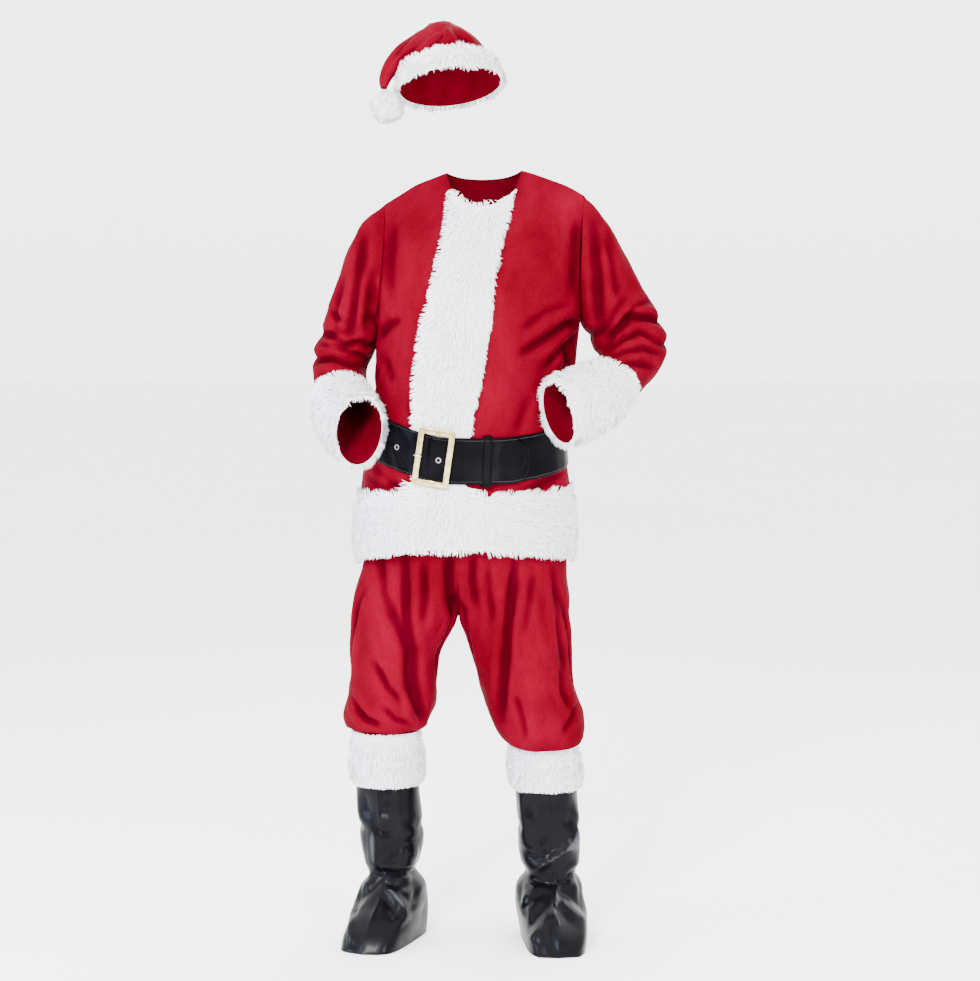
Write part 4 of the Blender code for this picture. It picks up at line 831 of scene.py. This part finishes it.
def make_cloths():
    """Every velour and vinyl panel, smoothed first, then creased alike on both sides of each seam."""
    made = {}
    for node, levels, *_ in CLOTHS:
        made[node] = shell(node, BOOT_VINYL if node.startswith("boot") else VELOUR, levels)
    normals, free = share_seams(list(made.values()))
    for (node, _, *folds), its_normals, its_free in zip(CLOTHS, normals, free):
        crease(made[node], its_normals, its_free, *folds)
    for node, piece in made.items():
        vinyl = node.startswith("boot")
        finish_cloth(piece, node, VINYL_WALL if vinyl else VELOUR_WALL)
    return made


FUR_WALLS = fur_walls()
cloths = make_cloths()


# Fur ----------------------------------------------------------------------------------------------

ROOT_SUNK = 0.001  # how far a lock's root is sunk into its backing
LOCK_BEND = 0.52  # the share of a lock's length below its bend
LOCK_THINS = 0.72  # a lock's width at its bend, as a share of that at its root
LOCK_FALLS = 0.30  # the share of its rise that a lock keeps above its bend
HAIR = 0.00102  # the radius of a lock in the bands, before it varies
TUFT, SWELL = 0.022, 0.016  # the sizes of the tufts that lie together and of those that stand higher
EDGE_REACH = 0.011  # how far in from an edge the pile turns out over it
EDGE_SHORTER, BOOT_EDGE_SHORTER = 0.30, 0.75  # how much shorter it is there, and on the boots besides
STRIP_SHORTER = 0.60  # how much shorter it is along the strip's edge on the wearer's left
PRESSED = 0.006  # the length of the pile under the belt
SHORT_ABOVE = 0.05  # the belt holds the pile short over this height above it
LOOSE_BELOW = 0.045  # and pushes it aside over this height below it


def scatter(mesh, count, rng):
    """Places spread evenly by area over a mesh, with smooth normals."""
    mesh.calc_loop_triangles()
    points, normals = points_of(mesh)
    corners = np.array([t.vertices[:] for t in mesh.loop_triangles])
    a, b, c = (points[corners[:, k]] for k in range(3))
    areas = np.linalg.norm(np.cross(b - a, c - a), axis=1)
    chosen = rng.choice(len(corners), count, p=areas / areas.sum())
    u, v = rng.random(count), rng.random(count)
    turned = u + v > 1
    u[turned], v[turned] = 1 - u[turned], 1 - v[turned]
    weights = np.stack([1 - u - v, u, v], 1)
    spots = (points[corners[chosen]] * weights[..., None]).sum(1)
    leans = unit_rows((normals[corners[chosen]] * weights[..., None]).sum(1))
    return spots, leans


def flow(spots, size, seed):
    """A smooth random direction at each place, so that neighbouring hairs lie together in tufts."""
    offset = Vector((seed, seed * 2.3, seed * 0.7))
    return np.array([noise.noise_vector(Vector(p) / size + offset) for p in spots])


def locks(name, spots, leans, ways, lengths, widths, rise):
    """A joined mesh of three-sided locks that stand up from their places and bend over along their ways."""
    count = len(spots)
    ways = unit_rows(ways - leans * (ways * leans).sum(1)[:, None])
    sides = np.cross(leans, ways)
    first = np.cos(rise)[:, None] * ways + np.sin(rise)[:, None] * leans
    second = np.cos(rise * LOCK_FALLS)[:, None] * ways + np.sin(rise * LOCK_FALLS)[:, None] * leans
    middles = spots + first * lengths[:, None] * LOCK_BEND
    tips = middles + second * lengths[:, None] * (1 - LOCK_BEND)
    # each lock has 7 points, and 3 quads and 3 triangles with 21 corners in all
    verts = np.empty((count, 7, 3))
    rings = ((spots - leans * ROOT_SUNK, first, 1.0), (middles, second, LOCK_THINS))
    for ring, (centre, way, share) in enumerate(rings):
        ups = np.cross(way, sides)
        for k in range(3):
            angle = 2 * math.pi * k / 3 + 0.5
            spoke = math.cos(angle) * sides + math.sin(angle) * ups
            verts[:, ring * 3 + k] = centre + spoke * widths[:, None] * share
    verts[:, 6] = tips
    quads = np.array([(k, (k + 1) % 3, 3 + (k + 1) % 3, 3 + k) for k in range(3)])
    ends = np.array([(3 + k, 3 + (k + 1) % 3, 6) for k in range(3)])
    firsts = 7 * np.arange(count)[:, None]
    mesh = bpy.data.meshes.new(name)
    mesh.vertices.add(count * 7)
    mesh.vertices.foreach_set("co", verts.ravel())
    loops = (np.concatenate([quads.ravel(), ends.ravel()])[None] + firsts).ravel()
    starts = np.concatenate([np.arange(3) * 4, 12 + np.arange(3) * 3])
    starts = (starts[None] + 21 * np.arange(count)[:, None]).ravel()
    mesh.loops.add(len(loops))
    mesh.loops.foreach_set("vertex_index", loops)
    mesh.polygons.add(count * 6)
    mesh.polygons.foreach_set("loop_start", starts)
    mesh.update(calc_edges=True)
    mesh.validate()
    mesh.shade_smooth()
    along = np.tile(np.array([0.0, 0.0, 0.0, 0.55, 0.55, 0.55, 1.0]), count)
    pile = mesh.attributes.new("pile", "FLOAT", "POINT")
    pile.data.foreach_set("value", along)
    own = np.empty(count * 21)
    mesh.vertices.foreach_get("normal", own)
    soft = unit_rows(own.reshape(-1, 3) * 0.55 + np.repeat(leans, 7, axis=0) * 0.75)
    mesh.normals_split_custom_set_from_vertices(soft)
    return mesh


def long_edges(mesh):
    """The open edges of a mesh, without those of small flaws: only runs of many edges count."""
    edges = edge_faces(mesh)
    beside_points = {}
    for key in edges:
        for v in key:
            beside_points.setdefault(v, []).append(key)
    left, kept = set(edges), {}
    for start in edges:
        if start not in left:
            continue
        left.discard(start)
        run = [start]
        for key in run:
            for v in key:
                for other in beside_points[v]:
                    if other in left:
                        left.discard(other)
                        run.append(other)
        if len(run) >= RUN_OF_EDGES:
            kept.update({key: edges[key] for key in run})
    return kept


def fringe(mesh, count, rng):
    """Places along the open edges of a mesh, with the normals there and the ways out over the edge."""
    edges = long_edges(mesh)
    points, normals = points_of(mesh)
    ends = np.array(list(edges))
    centres = np.array([mesh.polygons[face].center for face in edges.values()])
    a, b = points[ends[:, 0]], points[ends[:, 1]]
    lengths = np.linalg.norm(b - a, axis=1)
    chosen = rng.choice(len(ends), count, p=lengths / lengths.sum())
    share = rng.random(count)[:, None]
    leans = unit_rows(normals[ends[chosen, 0]] + normals[ends[chosen, 1]])
    along = unit_rows(b - a)[chosen]
    outs = a[chosen] - centres[chosen]
    outs -= along * (outs * along).sum(1)[:, None]
    return a[chosen] + (b - a)[chosen] * share, leans, unit_rows(outs)


def edge_pulls(spots, mesh):
    """How strongly the nearest open edge draws the pile out over it at each place, and which way."""
    gaps = spots[:, None] - points_of(mesh)[0][edge_points(mesh)][None]
    reach = np.linalg.norm(gaps, axis=2)
    nearest = reach.argmin(1)
    rows = np.arange(len(spots))
    return np.exp(-reach[rows, nearest] / EDGE_REACH), -unit_rows(gaps[rows, nearest])


def lay_round_belt(spots, length, ways, lengths, rise, rng):
    """Presses the strip's pile flat under the belt, holds it short above and pushes it aside below."""
    low, high = BELT_UNDER
    z = spots[:, 2] + HOLD[2] - np.interp(spots[:, 0] + HOLD[0], *BELT_RISE)
    above = (z > high) & (z < high + SHORT_ABOVE)
    room = PRESSED + np.maximum(z - high, 0.0)
    lengths[above] = np.minimum(lengths[above], room[above])
    pressed = (z > low) & (z <= high)
    lengths[pressed] = PRESSED
    rise[pressed] = 0.20
    aside = 2 * beside(spots) - 1
    loose = (z < low) & (z > low - LOOSE_BELOW) & (np.abs(aside) > 0.4)
    ways[loose, 0] += 1.9 * np.sign(aside[loose])
    lengths[loose] = length * rng.uniform(0.9, 1.45, loose.sum())
    rise[loose] = 0.35 + rng.normal(0, 0.12, loose.sum())


def fur_band(node, count, edge_count, length, nap, stray, seed):
    """A band's knitted backing on the cloth, and its pile as locks rooted in it."""
    rng = np.random.default_rng(seed)
    outer, inner = skins(node, bend=50)
    inner.flip_normals()
    backing = new_piece(f"{node}_backing", inner, GROUND)
    apply(backing, "SUBSURF", levels=2, render_levels=2, boundary_smooth="PRESERVE_CORNERS")
    spots, leans = scatter(backing.data, count, rng)
    edge_spots, edge_leans, edge_outs = fringe(backing.data, edge_count, rng)
    rim = edge_leans * rng.uniform(0.0, 1.0, edge_count)[:, None]
    edge_pull, outward = edge_pulls(spots, backing.data)
    edge_pull, outward = np.concatenate([edge_pull, np.ones(edge_count)]), np.vstack([outward, edge_outs])
    spots, leans = np.vstack([spots, edge_spots]), np.vstack([leans, edge_leans])
    count += edge_count

    strays = np.full((count, 1), stray * 1.6)
    if node == "placket_fur":
        edge_pull *= 1 - beside(spots) ** 2
        strays *= 1 - 0.8 * beside(spots)[:, None] ** 3
    ways = nap(spots) + strays * flow(spots, TUFT, seed) + rng.normal(0, 0.22, (count, 3))
    ways += outward * (2.2 * edge_pull)[:, None]
    swell = 0.5 + np.array([noise.noise(Vector(p) / SWELL + Vector((seed, 0, 0))) for p in spots])
    lengths = length * (0.72 + 0.40 * swell + rng.uniform(-0.10, 0.10, count))
    lengths *= 1 - EDGE_SHORTER * edge_pull
    if node.startswith("boot_fur"):
        lengths *= 1 - BOOT_EDGE_SHORTER * edge_pull
    rise = 0.95 - 0.50 * edge_pull + rng.normal(0, 0.13, count)
    if node == "placket_fur":
        lengths *= 1 - STRIP_SHORTER * np.clip((beside(spots) - 0.78) / 0.16, 0, 1)
        lengths *= 1 - EDGE_SHORTER * edge_pull
        lay_round_belt(spots, length, ways, lengths, rise, rng)
    widths = HAIR * (0.8 + 0.5 * rng.random(count))
    roots = spots + leans * FUR_BACKING
    if node in OPEN_RIMS:  # the pile at the lower edge also grows out of the backing's cut
        low = edge_outs[:, 2] < 0
        at = np.flatnonzero(low) + count - edge_count
        roots[at] = edge_spots[low] + rim[low] * FUR_BACKING
        leans[at] = unit_rows(edge_outs[low] + 0.5 * rim[low])
        ways[at] += edge_leans[low] * 1.2
        rise[at] = 0.9 + rng.normal(0, 0.2, len(at))
    mesh = locks(f"{node}_pile", roots, leans, ways, lengths, widths, rise)
    pile = new_piece(f"{node}_pile", mesh, FUR)
    apply(backing, "SOLIDIFY", thickness=FUR_BACKING, offset=1.0, use_rim=True)
    backing.data.shade_smooth()
    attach(backing, "root")
    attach(pile, "root")
    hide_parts(node)
    bpy.data.meshes.remove(outer)
    return backing, pile


furs = {node: fur_band(node, *rest) for node, *rest in BANDS}


POMPOM_LOCKS = 3000
POMPOM_HAIR = 0.0009  # the radius of a lock, before it varies
CORE_SHARE = 0.66  # the core's radius as a share of the ball's


def pompom():
    """A round core in the CAD ball's place, with locks that stand out all round."""
    low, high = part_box("hat_pompom")
    middle = (low + high) / 2
    radius = (high.x - low.x) / 2
    rng = np.random.default_rng(71)
    bpy.ops.object.select_all(action="DESELECT")
    bpy.ops.mesh.primitive_ico_sphere_add(subdivisions=4, radius=radius * CORE_SHARE, location=middle)
    core = bpy.context.object
    core.name = "hat_pompom_core"
    bpy.ops.object.transform_apply(location=True, rotation=True, scale=True)
    bpy.ops.object.mode_set(mode="EDIT")
    bpy.ops.mesh.select_all(action="SELECT")
    bpy.ops.transform.resize(value=(1.0, 1.0, 0.94), center_override=middle)
    bpy.ops.transform.vertex_random(offset=0.0008, uniform=0.2, normal=0.8, seed=7)
    bpy.ops.object.mode_set(mode="OBJECT")
    core.data.materials.append(GROUND)
    core.data.shade_smooth()
    count = POMPOM_LOCKS
    spots, leans = scatter(core.data, count, rng)
    ways = flow(spots, 0.012, 3) * 2.2 + rng.normal(0, 0.30, (count, 3)) + np.array((0, 0, -0.45))
    tufts = 0.5 + np.array([noise.noise(Vector(p) / 0.009) for p in spots])
    lengths = radius * (0.34 + 0.30 * tufts + 0.10 * rng.random(count))
    rise = 1.00 + 0.35 * tufts + rng.normal(0, 0.16, count)
    widths = POMPOM_HAIR * (0.8 + 0.5 * rng.random(count))
    mesh = locks("hat_pompom_pile", spots, leans, ways, lengths, widths, rise)
    pile = new_piece("hat_pompom_pile", mesh, FUR)
    for piece in (core, pile):
        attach(piece, "root")
    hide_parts("hat_pompom")


pompom()


# Belt ---------------------------------------------------------------------------------------------


def merged_copy(node, name, material):
    """A copy of a CAD node with its doubles merged and its triangles joined to quads."""
    piece = new_piece(name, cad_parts[node].data.copy(), material)
    only(piece)
    bpy.ops.object.mode_set(mode="EDIT")
    bpy.ops.mesh.select_all(action="SELECT")
    bpy.ops.mesh.remove_doubles(threshold=DOUBLES)
    bpy.ops.mesh.tris_convert_to_quads(face_threshold=math.radians(60), shape_threshold=math.radians(120))
    bpy.ops.mesh.select_all(action="DESELECT")
    bpy.ops.object.mode_set(mode="OBJECT")
    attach(piece, "root")
    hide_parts(node)
    return piece


def strap(node, creases):
    """A vinyl strap with rounded edges, soft creases and lines pressed along its edges."""
    piece = merged_copy(node, f"{node}_vinyl", BELT_VINYL)
    only(piece)
    bpy.ops.object.mode_set(mode="EDIT")
    bpy.ops.mesh.select_mode(type="EDGE")
    bpy.ops.mesh.edges_select_sharp(sharpness=math.radians(60))
    bpy.ops.transform.edge_crease(value=0.85)
    bpy.ops.object.mode_set(mode="OBJECT")
    apply(piece, "SUBSURF", levels=2, render_levels=2)
    mesh = piece.data
    points, normals = points_of(mesh)
    depths = crease_depths(points + HOLD, normals, creases)
    low, high = strap_edges(points)
    turns = turn_of(points)
    low, high = np.interp(turns, *low), np.interp(turns, *high)
    across = mesh.attributes.new("across", "FLOAT", "POINT")
    across.data.foreach_set("value", (points[:, 2] - low) / (high - low))
    store_folds(mesh, np.zeros(len(points)))
    if node == "belt_strap":
        depths -= lift_free_end(points, across)
    points -= normals * depths[:, None]
    mesh.vertices.foreach_set("co", points.ravel())
    mesh.update()
    mesh.shade_smooth()
    return piece


def lift_free_end(points, across):
    """Turns the pressed line round the belt's free end, and lifts that end a little off the turn below."""
    x, y, z = (points + HOLD).T
    near = np.flatnonzero((x > TIP_X - TIP_LENGTH) & (x < TIP_X + TIP_SLACK) & (y < 0))
    lifts = np.zeros(len(points))
    for i in near:
        beside_it = near[np.abs(x[near] - x[i]) < TURN_REACH]
        front, rear = y[beside_it].min(), y[beside_it].max()
        if y[i] > 0.5 * (front + rear):
            continue
        share = min(max((x[i] - TIP_X + TIP_LENGTH) / TIP_LENGTH, 0.0), 1.0)
        lifts[i] = TIP_LIFT * share**2
        round_x = (x[i] - TIP_X + TIP_ROUND) / TIP_ROUND
        if round_x > 0:
            round_z = (z[i] - TIP_Z) / TIP_ROUND
            across.data[i].value = 0.5 + 0.5 * min(math.hypot(round_x, round_z), 1.0)
    return lifts


def turn_of(points):
    """Each point's turn round the waist, in radians."""
    return np.arctan2(points[:, 1] + HOLD[1], points[:, 0])


def strap_edges(points):
    """The heights of a strap's lower and upper edge round the waist, each as turns and heights."""
    turns = turn_of(points)
    bins = np.linspace(-math.pi, math.pi, EDGE_BINS + 1)
    rows = np.digitize(turns, bins)
    found = sorted(set(rows))
    middles = [turns[rows == row].mean() for row in found]
    lows = [points[rows == row, 2].min() for row in found]
    highs = [points[rows == row, 2].max() for row in found]
    return (middles, lows), (middles, highs)


def stitches(name, spots, ways, outs):
    """One stitch, modelled as a short rounded bar, copied to each place along its way."""
    bpy.ops.object.select_all(action="DESELECT")
    bpy.ops.mesh.primitive_uv_sphere_add(segments=6, ring_count=4, radius=1.0)
    one = bpy.context.object
    bpy.ops.transform.resize(value=STITCH)
    bpy.ops.object.transform_apply(location=True, rotation=True, scale=True)
    corners = points_of(one.data)[0]
    faces = sorted(list(face.vertices) for face in one.data.polygons)  # in the same order at every run
    bpy.data.objects.remove(one)
    sides = np.cross(outs, ways)
    axes = np.stack([ways, sides, outs], axis=1)
    verts = spots[:, None] + np.einsum("ck,nkj->ncj", corners, axes)
    mesh = bpy.data.meshes.new(name)
    all_faces = [[v + len(corners) * n for v in face] for n in range(len(spots)) for face in faces]
    mesh.from_pydata(verts.reshape(-1, 3), [], all_faces)
    mesh.shade_smooth()
    row = new_piece(name, mesh, BLACK_THREAD)
    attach(row, "root")


def belt_stitches(piece):
    """A row of stitches along each edge of the belt, found by looking inwards at it from all round."""
    tree = BVHTree.FromObject(piece, bpy.context.evaluated_depsgraph_get())
    low, high = strap_edges(points_of(piece.data)[0])
    spots, ways, outs = [], [], []
    for share in STITCH_ROWS:
        row = []
        for turn in np.arange(-math.pi, math.pi, STITCH_TURN):
            height = (1 - share) * np.interp(turn, *low) + share * np.interp(turn, *high)
            out = Vector((math.cos(turn), math.sin(turn), 0.0))
            place, normal, _, _ = tree.ray_cast(out * OUTSIDE + Vector((0, 0, height)), -out)
            if place and normal.dot(out) > 0.5:
                row.append((np.array(place), np.array(normal)))
        for (place, normal), (after, _) in zip(row, row[1:]):
            step = after - place
            if np.linalg.norm(step) < STITCH_APART:
                way = step - normal * (step @ normal)
                spots.append(place + step / 2)
                ways.append(way / np.linalg.norm(way))
                outs.append(normal)
    stitches("belt_stitches", np.array(spots), np.array(ways), np.array(outs))


def bevelled(node, name, material, width):
    """A metal fitting with its sharp edges eased."""
    piece = merged_copy(node, name, material)
    apply(piece, "BEVEL", width=width, segments=3, limit_method="ANGLE", angle_limit=math.radians(35))
    only(piece)
    bpy.ops.object.shade_smooth_by_angle(angle=math.radians(40))
    return piece


BELT_CREASES = {
    "front": (
        (0.0050, 0.0022, ((-0.078, 1.018), (-0.084, 0.974), (-0.080, 0.931))),
        (0.0040, -0.0014, ((-0.070, 1.010), (-0.073, 0.974), (-0.072, 0.935))),
        (0.0070, 0.0024, ((-0.146, 1.017), (-0.127, 0.990), (-0.111, 0.971))),
        (0.0060, 0.0020, ((-0.138, 1.000), (-0.125, 0.955), (-0.111, 0.936))),
        (0.0060, -0.0014, ((-0.150, 0.990), (-0.140, 0.958), (-0.128, 0.935))),
        (0.0050, 0.0018, ((0.052, 1.000), (0.044, 0.962), (0.048, 0.930))),
    ),
    "back": (
        (0.0080, 0.0020, ((-0.120, 1.020), (-0.110, 0.980), (-0.116, 0.940))),
        (0.0080, 0.0020, ((0.130, 1.015), (0.118, 0.980), (0.126, 0.945))),
    ),
}
TIP_X, TIP_Z = 0.113, 0.966  # where the belt's free end reaches
TIP_ROUND = 0.045  # the radius of its rounded end
TIP_SLACK = 0.004  # points up to this far past TIP_X still belong to the end
TIP_LENGTH = 0.070  # the stretch that lifts
TIP_LIFT = 0.0022  # and how far its end does
TURN_REACH = 0.006  # points this near in x are set against each other to tell the outer turn from the inner
STITCH = (0.0019, 0.00042, 0.00034)  # half length, half width and half height
STITCH_APART = 0.012  # the row stops where two of its places lie further apart than this
OUTSIDE = 0.4  # further from the middle than any of the belt
EDGE_BINS = 90  # the stretches round the waist in which an edge's height is found
STITCH_ROWS = (0.060, 0.940)  # shares of the belt's width
STITCH_TURN = 0.029  # one stitch to each turn of this many radians

belt = strap("belt_strap", BELT_CREASES)
strap("belt_keeper", {})
belt_stitches(belt)
for node, material, width, slot in (
    ("buckle_frame", PALE_GOLD, 0.0012, "pale_gold"),
    ("buckle_prong", PALE_GOLD, 0.0008, "pale_gold"),
    ("eyelet_1", SILVER, 0.0004, "silver"),
    ("eyelet_2", SILVER, 0.0004, "silver"),
):
    bevelled(node, f"{node}_plated", material, width)


# Stage --------------------------------------------------------------------------------------------

FLOOR_GAP = 0.0015  # the floor lies this far below the soles
FLOOR_SIZE, FLOOR_BACK = 60.0, 10.0  # its width, and how far behind the suit its middle lies
# the sky's brightness along each axis: from and to where it grows, and its brightness there
SKY = (("Y", -0.3, 0.85, 0.42, 4.1), ("Z", 0.0, 1.0, 0.0, 3.4))
WHITE, COOL = (1.0, 1.0, 1.0), (0.62, 0.71, 1.0)
# name, place, aim, size, power and colour
LIGHTS = (
    ("key", (-1.3, -4.2, 1.6), (0.0, 0.0, -0.4), 1.1, 530.0, WHITE),
    ("fill", (2.0, -4.0, 0.2), (0.0, 0.0, -0.6), 1.3, 200.0, WHITE),
    ("rim", (0.8, 2.8, 1.8), (0.0, 0.0, -0.3), 1.6, 110.0, WHITE),
    ("side", (-3.4, -1.0, 0.0), (0.0, 0.0, -0.6), 1.4, 140.0, COOL),
)
CAMERA_PLACE, CAMERA_AIM = (0.01, -5.0, -0.18), (0.01, 0.0, -0.537)
CAMERA_LENS, CAMERA_SENSOR = 92.09, 36.0


def pale_floor():
    """A wide pale floor under the soles."""
    bpy.ops.mesh.primitive_plane_add(size=1, location=(0, 0, 0))
    floor = bpy.context.object
    floor.name = "floor"
    place = Matrix.Translation((0.0, FLOOR_BACK, -HOLD[2] - FLOOR_GAP))
    floor.data.transform(place @ Matrix.Diagonal((FLOOR_SIZE, FLOOR_SIZE, 1.0, 1.0)))
    pale = Finish("pale_floor", roughness=0.8)
    pale.base(pale.ramp(pale.noise(0.5), (0.3, (0.93, 0.93, 0.935)), (0.7, (0.95, 0.95, 0.955))))
    floor.data.materials.append(pale.material)


def studio_sky():
    """A white surround, brighter behind the suit and above it."""
    world = bpy.data.worlds.new("studio")
    bpy.context.scene.world = world
    world.use_nodes = True
    nodes, links = world.node_tree.nodes, world.node_tree.links
    way = nodes.new("ShaderNodeTexCoord")
    axes = nodes.new("ShaderNodeSeparateXYZ")
    links.new(way.outputs["Generated"], axes.inputs["Vector"])
    both = nodes.new("ShaderNodeMath")
    both.operation = "ADD"
    for (axis, *limits), term in zip(SKY, both.inputs):
        part = nodes.new("ShaderNodeMapRange")
        for socket, value in zip(("From Min", "From Max", "To Min", "To Max"), limits):
            part.inputs[socket].default_value = value
        links.new(axes.outputs[axis], part.inputs["Value"])
        links.new(part.outputs["Result"], term)
    links.new(both.outputs["Value"], nodes["Background"].inputs["Strength"])
    nodes["Background"].inputs["Color"].default_value = (*WHITE, 1.0)


def stand(name, data, place, aim):
    """A light or camera at a place, turned to its aim."""
    made = bpy.data.objects.new(name, data)
    bpy.context.scene.collection.objects.link(made)
    made.location = place
    made.rotation_euler = (Vector(aim) - Vector(place)).to_track_quat("-Z", "Y").to_euler()
    return made


def studio_lights():
    """Large soft lamps."""
    for name, place, aim, size, power, colour in LIGHTS:
        light = bpy.data.lights.new(name, "AREA")
        light.size = size
        light.energy = power
        light.color = colour
        stand(name, light, place, aim)


def front_camera():
    """The camera, in front at the height of the chest."""
    camera = bpy.data.cameras.new("camera")
    camera.lens = CAMERA_LENS
    camera.sensor_width = CAMERA_SENSOR
    bpy.context.scene.camera = stand("camera", camera, CAMERA_PLACE, CAMERA_AIM)


pale_floor()
studio_sky()
studio_lights()
front_camera()
